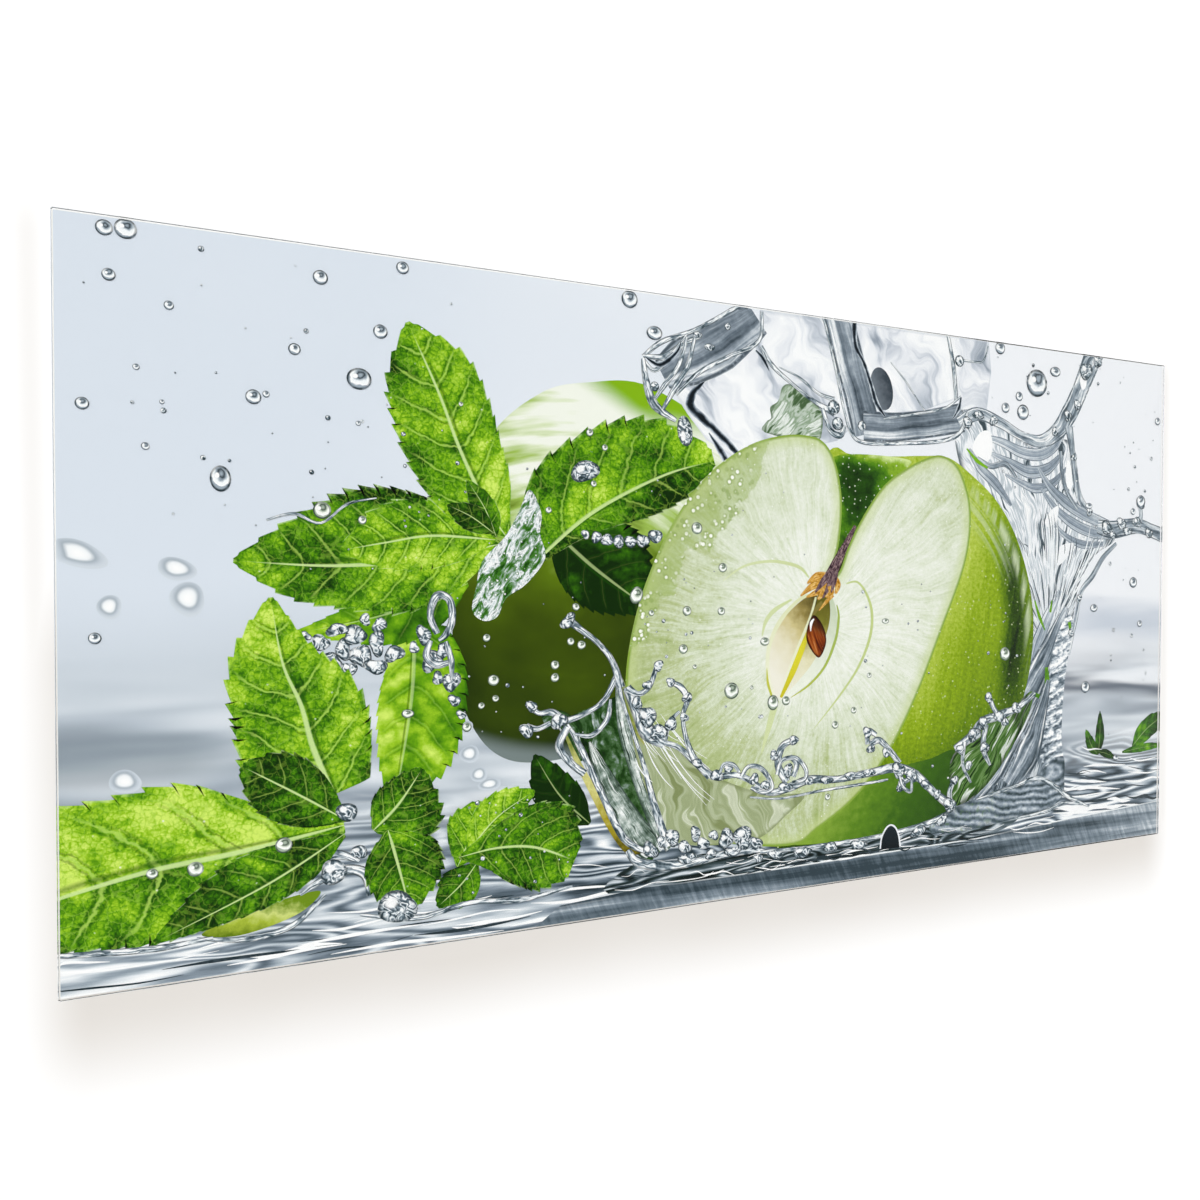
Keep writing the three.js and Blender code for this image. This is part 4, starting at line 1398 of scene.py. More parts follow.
def paint_tendrils():
    """The threads of water along the crown's rim and those that it throws up."""
    strips(
        "print_tendrils", 15, water_ink,
        ([(76.4, 36.4), (75, 40.6), (72.6, 43.6), (70, 45.6), (67.6, 47.4)], [1.55, 1.03, 0.86, 0.95, 1.55]),
        ([(77.6, 36.2), (79.4, 35.2), (81.4, 36.4), (82.6, 39.4)], [1.55, 0.95, 0.95, 0.86]),
        ([(67, 31.4), (65, 33), (62.8, 33), (61.6, 34)], [1.2, 1.12, 0.77, 1.03]),
        ([(64.6, 31.4), (62.6, 30.6), (60.8, 31)], [0.77, 0.86, 1.2]),
        ([(84, 27), (86.6, 26), (89.6, 23.4), (93, 20.8), (97.4, 20.6), (101, 19)],
         [1.03, 0.95, 1.29, 1.38, 1.03, 1.2]),
        ([(92.4, 20.8), (89.4, 24), (87.8, 28), (87.4, 31.4), (88.2, 34), (87, 36), (85.4, 36.8)],
         [1.6, 1.3, 0.9, 0.8, 1.1, 1.2, 0.8]),
        ([(84, 27.6), (85, 30.4), (86.8, 32)], [1.2, 0.77, 0.6]),
        ([(101, 18.6), (104, 17), (108, 17.6), (112, 18.6), (118, 18.2), (125, 18.8), (131, 19.2),
         (135.6, 17.4), (139.6, 14), (143.4, 11.2)],
         [1.4, 1.2, 1.6, 1.6, 1.3, 1.5, 1.8, 1.8, 1.5, 2.0]),
        ([(100, 16.6), (106, 15.8), (114, 16.4), (122, 16.8), (129, 17.2)], [0.34, 0.43, 0.52, 0.6, 0.43]),
        ([(107.4, 18.6), (105.6, 21.6), (106.4, 24.8), (109, 26)], [1.55, 1.46, 1.38, 1.03]),
        ([(108.6, 19.4), (109.4, 21.6), (108, 23)], [1.03, 1.2, 0.86]),
        ([(131.6, 20), (129.4, 22.6), (127, 24.6), (125, 24)], [1.29, 1.12, 1.29, 1.38]),
        ([(126.4, 25.6), (124.6, 26.4), (124.4, 24)], [0.86, 1.29, 0.95]),
        ([(131, 19), (132.6, 16.6), (134.6, 17.6)], [1.2, 1.03, 1.2]),
        ([(143.6, 11), (143.4, 13.6), (144.8, 16.4)], [1.72, 1.12, 0.95]),
        ([(144.6, 21.8), (148.8, 24), (151.4, 26.6), (155.6, 27.6), (160.6, 29), (165, 31.6)],
         [1.38, 2.06, 1.72, 1.89, 1.38, 1.03]),
        ([(153, 31.4), (154.6, 28.6), (157, 26.4)], [1.29, 1.12, 1.38]),
        ([(152.4, 26), (151.6, 21.6), (153.4, 18)], [1.2, 1.38, 0.69]),
        ([(147, 23), (146.6, 18.6), (148.6, 15)], [1.03, 0.86, 0.52]),
    )


def paint_rim_beads():
    """The beads on the threads of water."""
    discs(
        "print_rim_beads", 15.5, bead_ink,
        [
            (67.6, 47.2, 1.4, 0.7, 40), (61.6, 34.1, 0.9), (60.8, 30.4, 1.1), (66, 31.6, 1.3),
            (83, 39.7, 0.9), (81, 36.6, 0.8), (85.2, 36.9, 0.9, 0.8), (88.2, 34.2, 0.9), (87.6, 31, 0.8),
            (81, 31.4, 1.4, 1.4, 20), (83, 28.8, 1.5, 0.9, -40), (79.2, 33.8, 1.0), (85.2, 30, 1.0, 1.3),
            (90, 23.2, 1.0, 0.8), (93.6, 20.8, 1.3, 0.7), (95.8, 21.8, 1.0, 0.7), (100.8, 19.6, 1.0),
            (103, 18.4, 0.9), (104.8, 23.4, 0.9), (107.6, 20.6, 1.0, 1.2), (108.8, 25.8, 1.1, 0.7),
            (107, 17.8, 1.4, 0.6), (111.6, 18.4, 1.3, 0.6), (115.6, 18.2, 1.4, 0.5),
            (120.6, 18.6, 1.4, 0.5), (124.8, 18.8, 1.3, 0.6), (124.4, 26.2, 1.0), (125.2, 23.2, 0.9),
            (128.6, 22.2, 0.9), (131.4, 18.8, 1.5), (134.4, 17.6, 1.3), (132, 15.8, 1.1),
            (137.6, 15.6, 1.0), (140.4, 13.4, 0.9), (143.4, 11.2, 1.5), (144.6, 15.8, 0.9),
            (149.4, 24.2, 1.5), (151.6, 26.4, 1.2), (153, 31.2, 1.0), (155.6, 27.4, 1.2),
            (160, 28.8, 1.1), (157.2, 26.2, 0.9), (152, 21.6, 1.1), (146, 21.6, 1.0), (148, 18.4, 0.9),
            (194.4, 70.4, 1.2), (184.6, 65, 1.7, 0.8), (188.8, 66, 1.3), (190.6, 64.4, 1.2, 0.8),
            (193.4, 66.4, 1.2), (197, 64.2, 1.1), (186.4, 63.6, 1.0, 0.7), (150.2, 85.6, 1.3, 0.7),
            (154, 84.8, 1.0), (147.6, 84, 1.1), (179.6, 68.2, 0.9), (173.4, 87.2, 1.1), (170, 83.8, 0.9),
            (175.2, 79, 0.8), (178.4, 96.6, 1.6, 1.2), (176, 89.6, 1.0), (181.6, 99, 1.3),
            (174.6, 43.4, 0.8), (176.8, 50.4, 0.8),
        ],
        uneven=0.13,
    )


def paint_waterline():
    """Where the apple stands in the water: dark water, rims of light and a row of bubbles."""
    dark = bpy.data.materials["ink_line_dark"]
    white = bpy.data.materials["ink_line_white"]
    deep = make_pool_ink(
        "ink_dark_water", (0.14, "101A1A"), (0.36, "263433"), (0.56, "46555A"), (0.72, "76848C"),
        (0.88, "D3DAE0"),
        bands=14.0, scale=1.5,
    )
    pool = [(74, 3.4), (78, 7.4), (86, 7.6), (96, 8), (106, 7.0), (120, 6.9), (136, 7.6), (148, 9), (160, 9),
            (160, 6.4), (150, 4.2), (120, 3.6), (96, 3.4)]
    fill("print_dark_water", smooth_line(pool, closed=True, steps=4), 14.1, deep, cell=5.0)
    front = [(62, -0.4), (66, 2.6), (80, 3.5), (100, 3.6), (120, 3.8), (150, 4.1), (175, 5.6), (203, 6.8),
        (203, -0.4)]
    fill("print_pool_front", front, 14.2, make_pool_front_ink(), cell=2.0, soft=2.0)
    scattered_lines("print_ripples_dark", 14.25, dark, (76, 3.6), (150, 6.4), 26, 16, 0.45, 31)
    scattered_lines("print_ripples_white", 14.28, white, (76, 3.8), (172, 7.4), 30, 14, 0.35, 32)
    scattered_lines("print_ripples_left_dark", 7.6, dark, (0, 0.5), (70, 8.6), 8, 30, 0.6, 33)
    scattered_lines("print_ripples_left_white", 7.7, white, (0, 0.5), (74, 8.6), 20, 26, 0.8, 34)
    scattered_lines("print_ripples_right_dark", 1.4, dark, (172, 7), (199, 17), 12, 18, 0.7, 35, tilt=-0.05)
    scattered_lines("print_ripples_right_white", 1.6, white, (172, 6), (199, 20), 22, 20, 0.9, 36, tilt=-0.05)
    strips(
        "print_base_waves", 14.6, water_ink,
        ([(77.4, 10), (79, 8), (83, 6.8), (88, 6.6), (94, 7.2), (100, 7.6), (103, 7)],
         [1.0, 1.6, 1.8, 1.4, 1.4, 1.6, 0.6]),
        ([(102, 6.9), (110, 6.6), (118, 6.6), (127, 6.9), (136, 7.8), (142, 9.2)],
         [0.6, 0.8, 0.9, 0.8, 0.9, 1.2]),
        ([(150, 11.6), (158, 13), (165, 14.4), (169, 13.2), (174, 10), (180, 7.4)],
         [0.4, 0.7, 1.0, 1.2, 1.0, 0.3]),
        ([(160, 6.9), (168, 7.6), (173, 8.8), (178, 8)], [0.4, 0.8, 0.8, 0.3]),
    )
    discs(
        "print_base_beads", 14.9, bead_ink,
        [
            (81.4, 9.6, 1.2, 1.3, 30), (83.4, 10.8, 0.9), (85.4, 11.2, 1.2, 1.3), (87.6, 9.4, 1.3, 0.8),
            (89.6, 11.4, 1.0, 1.3, 20), (91, 9.6, 1.1), (93, 10.8, 0.9), (92.4, 7.6, 1.2, 0.7),
            (95.4, 10, 1.5, 1.1, 30), (98.6, 9.8, 2.1, 0.85, -20), (101, 8.6, 1.4, 0.8, -35),
            (96.6, 7.6, 1.5, 0.6), (88, 7.4, 1.6, 0.6), (105, 6.2, 1.5, 0.5), (110.4, 5.9, 2.2, 0.4),
            (116.4, 6.1, 1.7, 0.5), (122.4, 5.9, 1.9, 0.45), (136, 6.9, 2.1, 0.4, 10),
            (141.6, 8.4, 1.5, 0.6, 20), (101.6, 5.9, 1.1, 0.6),
        ],
        uneven=0.13,
    )


def paint_drops():
    """The round drops in the air and on the leaves and the fruit, and the dark one on the water."""
    drop = make_drop_ink("ink_drop")
    on_green = make_drop_ink("ink_drop_green", rim="415044", body="A9B8A6", low="F4F8EE")
    discs(
        "print_drops", 16, drop,
        [
            (5.8, 98.4, 1.0), (8.2, 98.6, 1.3), (6.2, 92.5, 0.8), (13, 89.4, 0.6), (31.8, 95.6, 1.0),
            (43, 98.5, 0.9), (39.8, 89, 1.0), (28.3, 85.3, 0.8), (36.8, 82, 1.7, 0.9), (23, 78.3, 1.0),
            (24.6, 78.8, 0.45), (3, 75.8, 0.8), (9.1, 81, 0.4), (10, 70.8, 0.5), (18.8, 67, 1.3, 1.35),
            (36.6, 75.7, 0.35), (3.9, 45.8, 0.75), (12, 76.7, 0.3), (165.1, 93, 2.7),
            (170, 95.7, 1.4, 0.7), (82.6, 93.6, 1.4, 0.8), (78.3, 98.5, 1.4), (194.5, 70.8, 1.3),
            (192.2, 68.6, 0.7), (192.4, 53.7, 1.1), (194.4, 45, 0.7), (199.4, 88, 0.8),
            (178.7, 32.2, 1.2), (181, 48.4, 1.0, 0.8), (179.4, 69.3, 1.0, 0.6), (185.6, 57.6, 0.4),
            (186.7, 43.8, 0.4), (192, 42.5, 0.45), (197.6, 80, 0.4), (187.6, 17, 0.9, 0.6),
            (161.5, 87, 1.5), (157, 87.5, 1.0), (155.6, 98.9, 1.2), (160.5, 90, 0.9),
        ],
    )
    discs(
        "print_drops_on_green", 17, on_green,
        [
            (31.6, 63.2, 1.2), (9.9, 14.6, 0.7), (15, 14.6, 1.0), (26, 16.6, 1.1),
            (79.2, 51.2, 1.1, 1.3, -20),
            (54.7, 44.8, 0.6), (55.7, 38.4, 0.85), (65.4, 40.4, 0.7), (65.4, 38.4, 0.7),
            (51.6, 31.5, 0.7), (53.8, 34.6, 0.5), (56, 35.6, 0.5), (68, 44, 0.6), (69.8, 43.4, 0.7),
            (68.9, 49.4, 0.6), (157.1, 39.6, 1.3), (64.6, 64.4, 0.5), (72, 68.8, 0.5), (73.9, 74.6, 0.5),
            (71.4, 76.8, 0.6), (51.2, 79.6, 0.35), (37, 62, 0.6), (43, 34, 0.9, 0.7), (90.1, 62.3, 1.0),
            (96.5, 35, 1.4), (104.6, 32.6, 1.1, 1.2), (107.2, 32.8, 0.8), (88.2, 48.6, 0.8),
            (94.6, 48.5, 0.7), (87.5, 42.3, 0.8), (81.8, 48.3, 0.5), (103, 43.2, 0.9, 0.8),
            (94.9, 55.8, 0.8), (128.4, 46.4, 0.8, 0.6), (124.8, 36.6, 0.5), (121.4, 30.4, 0.6),
            (117.4, 28, 0.7), (115.8, 15.2, 0.6), (100.4, 35.4, 0.35), (89.6, 39.3, 0.4),
        ],
    )
    dark = make_gradient_ink(
        "ink_dark_drop", (0.0, "10161A"), (0.7, "1C262C"), (1.0, "56636C"), start=4, end=10
    )
    light = bpy.data.materials["ink_clear"]
    shape = smooth_line(
        [(127.1, 4.6), (127.4, 6.6), (128.4, 8.3), (129.6, 8.9), (130.8, 8.3), (131.6, 6.6), (132, 4.6)],
        steps=4
    )
    fill("print_dark_drop_rim", shape, 16, light, cell=2.0)
    inner = smooth_line(
        [(127.4, 4.4), (127.7, 6.5), (128.6, 8.0), (129.6, 8.6), (130.6, 8.0), (131.3, 6.5), (131.6, 4.4)],
        steps=4
    )
    fill("print_dark_drop", inner, 17, dark, cell=2.0)


def paint_spray():
    """Fine spray: many tiny drops around the ice, the splash and the sprigs."""
    chance = np.random.default_rng(51)
    zones = [  # left, bottom, right, top and how many
        (2, 60, 50, 98, 26), (50, 28, 74, 56, 16), (80, 26, 112, 74, 46), (120, 10, 162, 60, 34),
        (150, 60, 199, 98, 40), (175, 22, 198, 60, 14), (50, 6, 68, 20, 26), (30, 54, 66, 76, 18),
    ]
    places = []
    for left, bottom, right, top, many in zones:
        for _ in range(many):
            size = 0.12 + 0.26 * chance.uniform() ** 3
            x, y = chance.uniform(left, right), chance.uniform(bottom, top)
            if math.hypot((x - 111) / 10, (y - 43) / 12) > 1:  # none over the core
                places.append((x, y, size))
    discs("print_spray", 15.8, bead_ink, places)
    loops = [
        ([(98.4, 20.2), (99.6, 21.8), (101.8, 21.6), (103.6, 19.8), (104.4, 17.8), (102.6, 17.2),
         (100.2, 18.2)], [0.9, 0.8, 0.9, 1.0, 0.8, 0.9, 0.7]),
        ([(105.4, 20), (106.4, 22.4), (109.2, 22.6), (111.2, 20.6), (111, 18.8), (108.4, 18.4)],
         [0.9, 0.8, 0.9, 0.9, 0.8, 0.6]),
        ([(94.2, 21.2), (95, 22.6), (96.8, 22.4), (98, 21)], [0.6, 0.7, 0.8, 0.6]),
        ([(131.6, 17.6), (132.4, 15.6), (134.2, 14.6), (134.4, 16.8)], [0.6, 0.7, 0.8, 0.5]),
    ]
    strips("print_rim_loops", 15.6, water_ink, *loops)


def paint_wet_leaf():
    """A small leaf in the middle of the sprig under a film of water."""
    paint = Paint("ink_wet_leaf")
    x, y = paint.coordinates()
    edge = paint.attribute("edge")
    along, across = x * 0.55 + y, x - y * 0.55
    flow = paint.noise(paint.join(along * 0.28, across * 0.75), 1.0, 4.0, 0.7, 0.8)
    beads = paint.cells(paint.join(x, y), 1.15)
    tone = flow + (beads - 0.4) * 0.12 + edge.step(0.5, 0.0) * 0.05
    colour = tone.ramp(
        (0.34, "123D08"), (0.45, "3F7A22"), (0.51, "86A089"), (0.56, "CFDADC"), (0.61, "FFFFFF"),
        (0.69, "8B9C98"), (0.77, "2F5F22")
    )
    colour = paint.mix(colour, "FFFFFF", beads.step(0.22, 0.10))
    outline = smooth_line(
        [(61.6, 67.4), (63.4, 64), (63.2, 60.6), (64, 57), (61, 53), (57.8, 50.8), (56.4, 48),
         (54.2, 47.4), (52.6, 49), (53.2, 52.4), (54.2, 56.4), (57.6, 60),
         (59.8, 63.8)], closed=True, steps=5
    )
    fill("print_wet_leaf", outline, 7.9, paint.finish(colour), cell=1.5, soft=1.6)


def paint_mint_details():
    """The water around the sprigs: soft white drops, a ring of water and the lens by the lower leaf."""
    soft = make_soft_drop_ink()
    discs(
        "print_soft_drops", 2.7, soft,
        [
            (2.2, 56.6, 3.4, 0.5, -15), (13.4, 54.8, 2.4, 0.62, -20), (14.6, 50.8, 2.2, 1.0, -40),
            (5.6, 49.8, 1.5), (7, 27, 1.9, 0.8), (52, 27.4, 1.4), (53.4, 24.2, 1.2), (51.8, 31.6, 0.8),
            (55, 22.6, 1.8, 0.5),
        ],
        uneven=0.06,
    )
    discs(
        "print_spray_cluster", 2.75, bead_ink,
        [
            (31.2, 44.6, 1.3, 0.8), (32.4, 41.8, 1.7, 0.8, 20), (34.2, 43.6, 1.2, 1.2),
            (35.8, 45.6, 1.8, 0.7), (36.6, 42.6, 1.4, 1.3), (38.8, 44.4, 1.2, 1.4),
            (33.4, 46.4, 1.4, 0.7), (38.6, 41, 1.5, 0.8), (41.2, 42.8, 1.3), (30.4, 41.8, 1.0),
            (35, 40.8, 1.0), (39.2, 47, 1.0), (29.2, 45.6, 0.7), (37.2, 47.8, 0.8),
            (46.6, 41.6, 1.4, 1.2), (45.4, 45.4, 1.0, 1.5), (49.4, 38.4, 1.2, 1.3), (48.2, 43, 1.1),
            (47.4, 39, 0.9), (49.8, 35.6, 0.9), (50.8, 33.4, 0.7), (44, 43.6, 0.8),
        ],
        uneven=0.16,
    )
    row = [(70.6, 60.8, 0.7), (72.4, 60.4, 0.9), (74.2, 60, 1.0), (76.2, 59.8, 1.0), (78.2, 59.8, 1.0),
        (80.4, 60, 1.1), (82.6, 60.8, 1.2)]
    discs("print_row_of_drops", 5.5, bead_ink, row, uneven=0.1)
    knot_drops = [(34.4, 20.4, 1.4), (32.5, 12, 1.9, 0.9), (41.2, 5.8, 2.9, 0.8), (36, 14.5, 1.2, 0.8),
        (70.6, 70.7, 2.3, 0.75, 15)]
    discs("print_knot_drops", 10.5, bead_ink, knot_drops, uneven=0.08)
    strips(
        "print_water_ring", 5.6, water_ink,
        ([(47.4, 45.6), (46.4, 48.4), (47.4, 51.2), (49.2, 50.6), (49.6, 47.6), (48.6, 45.4), (47.6, 44.6)],
         [0.9, 1.0, 1.2, 1.1, 1.1, 1.0, 0.6]),
        ([(46.4, 44.6), (45.8, 42.4), (47.2, 41), (49.4, 41.4)], [0.7, 1.2, 1.2, 0.7]),
        ([(48.6, 44.4), (49.4, 41.6), (49.4, 38.6)], [0.7, 1.0, 0.4]),
        ([(24.4, 61.6), (28, 62.6), (31.4, 61.4), (35, 64.2), (39, 65.2)], [0.3, 0.5, 0.4, 0.4, 0.2]),
    )
    lens = make_gradient_ink("ink_green_lens", (0.0, "5F7A12"), (0.4, "A9BC3C"), (0.7, "CFDA7E"),
        (1.0, "6F8F1C"), turn=80, start=8, end=13, grain=0.8)
    shape = smooth_line([(15.6, 5.6), (19.4, 7.4), (24.6, 8.8), (30.6, 9.6), (28.6, 7.2), (24.4, 5.6),
        (19.6, 4.8)], closed=True)
    fill("print_green_lens", shape, 7.95, lens, cell=1.6)
    strips(
        "print_puddle_lines", 8.05, water_ink,
        ([(28, 9.4), (33, 12), (36.6, 11.4), (37.4, 8)], [0.5, 1.4, 1.6, 0.8]),
        ([(15, 5.2), (21, 4.2), (27, 5.2), (31.4, 9)], [0.4, 0.9, 0.9, 0.4]),
        ([(-2, 5.4), (6, 4.8), (11, 4.6), (17, 5)], [0.6, 0.9, 0.9, 0.4]),
        ([(30, 12.8), (33, 14.4), (36, 13.2)], [0.6, 1.6, 0.5]),
        ([(36, 5.4), (44, 3.8), (52, 5), (60, 4.4), (68, 5.4)], [0.4, 0.9, 0.8, 0.9, 0.4]),
    )


def paint_picture():
    """The whole picture. Later pieces use inks that earlier ones make."""
    paint_backdrop()
    paint_whole_apple()
    paint_far_leaves()
    paint_mint_above()
    paint_ice()
    paint_ice_block()
    paint_splash_behind()
    paint_splash_windows()
    paint_mint_below()
    paint_wet_leaf()
    paint_mint_details()
    paint_apple_half()
    paint_core_lines()
    paint_chambers()
    paint_seed()
    paint_stem()
    paint_splash_foot()
    paint_crown()
    paint_crown_film()
    paint_tendrils()
    paint_rim_beads()
    paint_waterline()
    paint_spray()
    paint_drops()


# ---------------------------------------------------------------------------------------------------
# The panel itself
# ---------------------------------------------------------------------------------------------------
def rounded_ring(half_x, half_y, radius, steps=6):
    """The corners of a rectangle with rounded corners, counter-clockwise."""
    ring = []
    for quarter, (sx, sy) in enumerate(((1, 1), (-1, 1), (-1, -1), (1, -1))):
        for k in range(steps + 1):
            angle = math.pi / 2 * (quarter + k / steps)
            ring.append(
                (sx * (half_x - radius) + radius * math.cos(angle),
                 sy * (half_y - radius) + radius * math.sin(angle))
            )
    return ring


def stacked_rings(name, rings):
    """A closed solid whose cross-sections are given from bottom to top as (ring, height)."""
    mesh = bpy.data.meshes.new(name)
    many = len(rings[0][0])
    points = [(x, y, z) for ring, z in rings for x, y in ring]
    faces = [tuple(reversed(range(many)))]
    for k in range(len(rings) - 1):
        for i in range(many):
            a, b = k * many + i, k * many + (i + 1) % many
            faces.append((a, b, b + many, a + many))
    faces.append(tuple(range((len(rings) - 1) * many, len(rings) * many)))
    mesh.from_pydata(points, [], faces)
    mesh.update()
    piece = bpy.data.objects.new(name, mesh)
    bpy.context.scene.collection.objects.link(piece)
    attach(piece, "root")
    return piece


def pass_light(tree, shader):
    """Lets lamps and scattered light pass a shader, so that they reach the print behind the glass."""
    clear = tree.nodes.new("ShaderNodeBsdfTransparent")
    path = tree.nodes.new("ShaderNodeLightPath")
    either = tree.nodes.new("ShaderNodeMath")
    either.operation = "MAXIMUM"
    tree.links.new(path.outputs["Is Shadow Ray"], either.inputs[0])
    tree.links.new(path.outputs["Is Diffuse Ray"], either.inputs[1])
    mix = tree.nodes.new("ShaderNodeMixShader")
    tree.links.new(either.outputs[0], mix.inputs[0])
    tree.links.new(shader.outputs[0], mix.inputs[1])
    tree.links.new(clear.outputs[0], mix.inputs[2])
    out = tree.nodes.new("ShaderNodeOutputMaterial")
    tree.links.new(mix.outputs[0], out.inputs["Surface"])


def make_glass():
    """Low-iron glass, polished on its faces and bevels."""
    material = bpy.data.materials.new("clear_glass")
    material.use_nodes = True
    tree = material.node_tree
    tree.nodes.clear()
    glass = tree.nodes.new("ShaderNodeBsdfPrincipled")
    glass.inputs["Base Color"].default_value = (0.985, 0.995, 0.992, 1)
    glass.inputs["Roughness"].default_value = 0.0
    glass.inputs["IOR"].default_value = 1.5
    glass.inputs["Transmission Weight"].default_value = 1.0
    pass_light(tree, glass)
    return material


def make_ground_edge(glass):
    """The narrow side of the glass: matt grey green from outside, and clear when seen through the pane."""
    paint = Paint("ground_edge")
    node = paint.tree.nodes.new("ShaderNodeTexCoord")
    grain = paint.noise(Value(paint.tree, node.outputs["Object"]), 900.0, 2.0)
    colour = grain.ramp((0.3, "9FB0AB"), (0.7, "BECBC7"))
    matt = paint.tree.nodes.new("ShaderNodeBsdfPrincipled")
    plug(matt.inputs["Base Color"], colour)
    matt.inputs["Roughness"].default_value = 0.35
    clear = paint.tree.nodes.new("ShaderNodeBsdfPrincipled")
    for name in ("Base Color", "Roughness", "IOR", "Transmission Weight"):
        clear.inputs[name].default_value = glass.node_tree.nodes["Principled BSDF"].inputs[name].default_value
    side = paint.tree.nodes.new("ShaderNodeNewGeometry")
    both = paint.tree.nodes.new("ShaderNodeMixShader")
    paint.tree.links.new(side.outputs["Backfacing"], both.inputs[0])
    paint.tree.links.new(matt.outputs[0], both.inputs[1])
    paint.tree.links.new(clear.outputs[0], both.inputs[2])
    pass_light(paint.tree, both)
    return paint.material


def make_pane():
    """The glass: a plate with round corners and a small bevel along both faces."""
    centre = (pane_low + pane_high) / 2
    half_x, half_y = (pane_high.x - pane_low.x) / 2, (pane_high.y - pane_low.y) / 2
    radius = 0.0015
    wide = [(x + centre.x, y + centre.y) for x, y in rounded_ring(half_x, half_y, radius)]
    narrow = [
        (x + centre.x, y + centre.y) for x, y in rounded_ring(half_x - ARRIS, half_y - ARRIS, radius - ARRIS)
    ]
    pane = stacked_rings(
        "glass_front",
        [(narrow, pane_low.z), (wide, pane_low.z + ARRIS), (wide, pane_high.z - ARRIS),
         (narrow, pane_high.z)],
    )
    glass = make_glass()
    pane.data.materials.append(glass)
    pane.data.materials.append(make_ground_edge(glass))
    for face in pane.data.polygons:
        face.material_index = 1 if abs(face.normal.z) < 0.1 else 0
    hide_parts("glass_pane")


def make_cover():
    """The white layer behind the print, which is also the back of the panel."""
    centre = (sheet_low + sheet_high) / 2
    half_x, half_y = (sheet_high.x - sheet_low.x) / 2, (sheet_high.y - sheet_low.y) / 2
    ring = [(x + centre.x, y + centre.y) for x, y in rounded_ring(half_x, half_y, 0.001)]
    cover = stacked_rings("white_cover", [(ring, sheet_low.z), (ring, COVER_TOP - LAYER_STEP)])
    paint = Paint("white_cover")
    node = paint.tree.nodes.new("ShaderNodeTexCoord")
    grain = paint.noise(Value(paint.tree, node.outputs["Object"]), 60.0, 3.0)
    cover.data.materials.append(paint.finish(grain.ramp((0.3, "E9EAE8"), (0.7, "F2F2F0"))))
    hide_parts("print_layer")


# ---------------------------------------------------------------------------------------------------
# Camera, light and floor
# ---------------------------------------------------------------------------------------------------
def make_camera():
    """Near the left end of the panel, looking down on it and along it to the right."""
    data = bpy.data.cameras.new("camera")
    data.sensor_width = 36.0
    data.lens = 22.94
    camera = bpy.data.objects.new("camera", data)
    forward = Vector((0.33606, -0.01643, -0.94170)).normalized()
    up = Vector((0.00388, 0.99986, -0.01607))
    right = forward.cross(up).normalized()
    up = right.cross(forward)
    turn = Matrix((right, up, -forward)).transposed()
    camera.matrix_world = Matrix.Translation((-0.3385, 0.0133, pane_high.z + 0.5667)) @ turn.to_4x4()
    bpy.context.scene.collection.objects.link(camera)
    bpy.context.scene.camera = camera


def make_sun(name, strength, colour, elevation, azimuth, spread):
    """A soft lamp that shines from an elevation and from a direction, clockwise from +Y, in degrees."""
    data = bpy.data.lights.new(name, "SUN")
    data.energy = strength
    data.color = colour
    data.angle = math.radians(spread)
    lamp = bpy.data.objects.new(name, data)
    lamp.visible_glossy = False
    lamp.visible_transmission = False
    e, a = math.radians(elevation), math.radians(azimuth)
    towards = Vector((math.sin(a) * math.cos(e), math.cos(a) * math.cos(e), math.sin(e)))
    lamp.rotation_euler = towards.to_track_quat("Z", "Y").to_euler()
    bpy.context.scene.collection.objects.link(lamp)


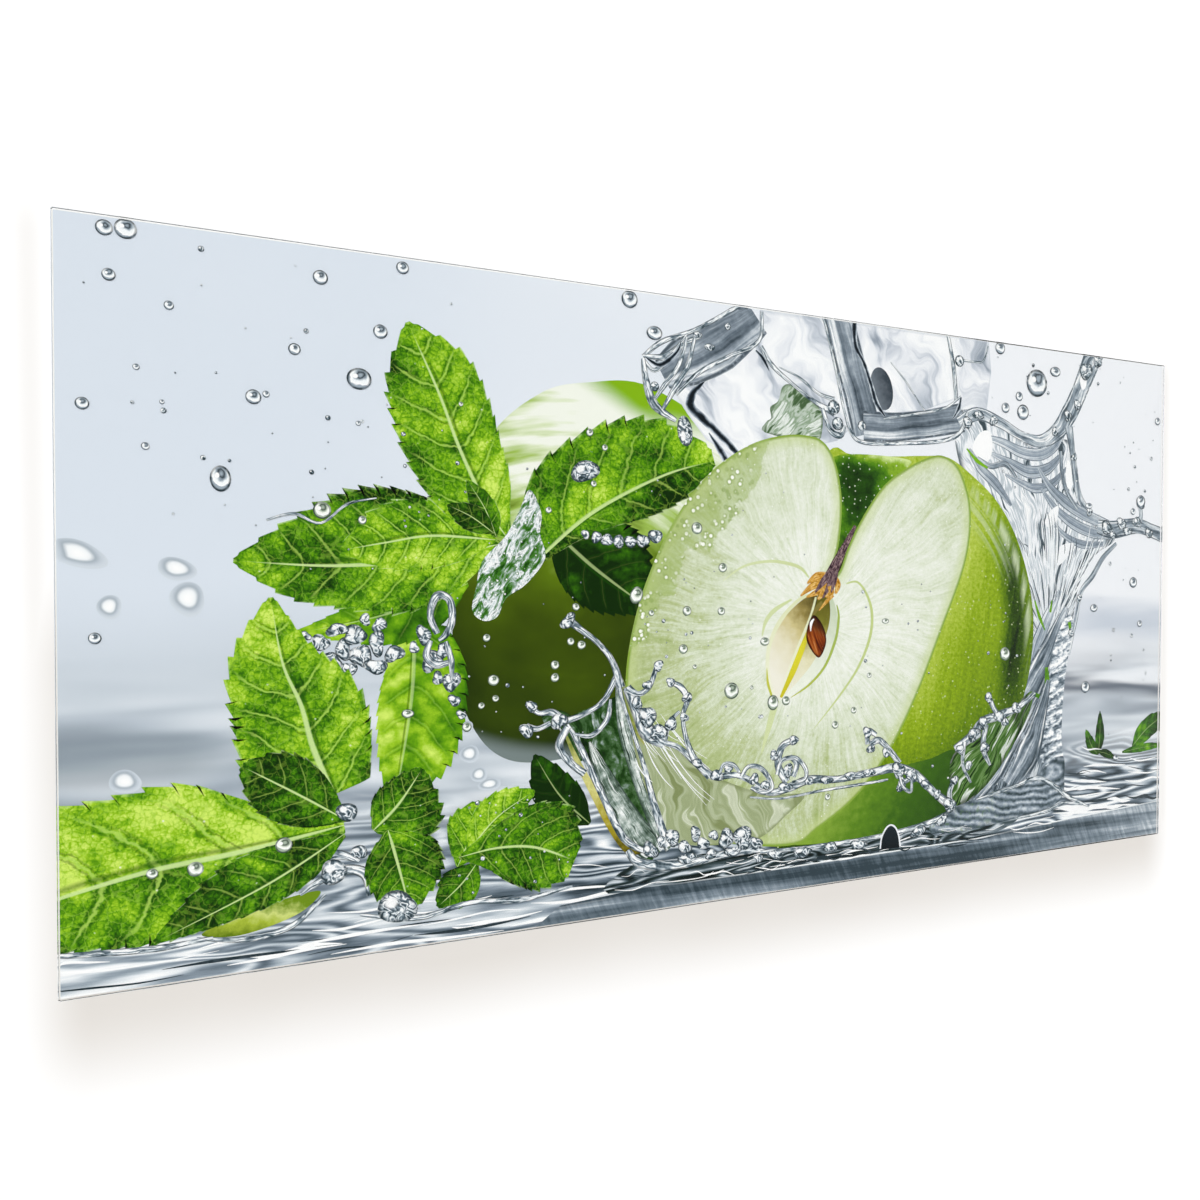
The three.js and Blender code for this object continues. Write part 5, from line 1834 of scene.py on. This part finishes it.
def make_studio():
    """A bright even sky that is darker overhead, one soft lamp and the floor."""
    scene = bpy.context.scene
    scene.view_settings.view_transform = "Standard"
    scene.view_settings.look = "None"
    world = bpy.data.worlds.new("studio")
    scene.world = world
    world.use_nodes = True
    tree = world.node_tree
    tree.nodes.clear()
    place = tree.nodes.new("ShaderNodeTexCoord")
    split = tree.nodes.new("ShaderNodeSeparateXYZ")
    tree.links.new(place.outputs["Generated"], split.inputs[0])
    height = Value(tree, split.outputs["Z"])
    low = 1.0 - height.math("MAXIMUM", 0.0)
    glow = low * low * low * 2.5 + 0.05
    light = tree.nodes.new("ShaderNodeBackground")
    tree.links.new(glow.socket, light.inputs["Strength"])
    light.inputs["Color"].default_value = (1, 1, 1, 1)
    out = tree.nodes.new("ShaderNodeOutputWorld")
    tree.links.new(light.outputs[0], out.inputs["Surface"])
    make_sun("key", 3.0, (1.0, 0.997, 0.99), 55, -25, 25)
    make_floor()


def make_floor():
    """A white floor, with a soft warm shadow painted into its colour below the panel's lower edge, and
    painted shade along its left and right edges.
    """
    mesh = bpy.data.meshes.new("floor")
    reach = 12.0
    corners = [(-reach, -reach, 0), (reach, -reach, 0), (reach, reach, 0), (-reach, reach, 0)]
    mesh.from_pydata(corners, [], [(0, 1, 2, 3)])
    floor = bpy.data.objects.new("floor", mesh)
    bpy.context.scene.collection.objects.link(floor)
    pale = Paint("floor")
    x, y = pale.coordinates()
    haze = pale.noise(pale.join(x, y), 0.03, 2.0)
    below = (y + 1.0) * -1.0
    inside = x.step(-7.0, 3.0) * x.step(207.0, 196.0)
    # Painted shadow: the floor's colour darkens below the panel's lower edge, fades out over 17 units and is
    # mottled by haze.
    shadow = below.step(17.0, 0.0) * y.step(60.0, 40.0) * inside * (0.85 + haze * 0.3)
    # Painted contact shade: narrow darker strips on the floor along the panel's left and right edges.
    painted_contact_shade = (x + 2.6).size().step(2.6, 0.0) * y.step(-6.0, 4.0) * y.step(104.0, 96.0) * 0.35
    painted_contact_shade = painted_contact_shade + (x - 202.4).size().step(2.6, 0.0) * y.step(-4.0, 4.0) * y.step(104.0, 96.0) * 0.45
    # DEDAD5 is the warm colour of the painted shadow and painted shade that the floor is mixed towards.
    mesh.materials.append(pale.finish(pale.mix("FDFDFD", "DEDAD5", shadow.most(painted_contact_shade)), roughness=0.9))


make_camera()
make_studio()
water_ink = make_water_ink("ink_water")
bead_ink = make_bead_ink("ink_bead")
leaf_ink = make_leaf_ink()
paint_picture()
make_cover()
make_pane()
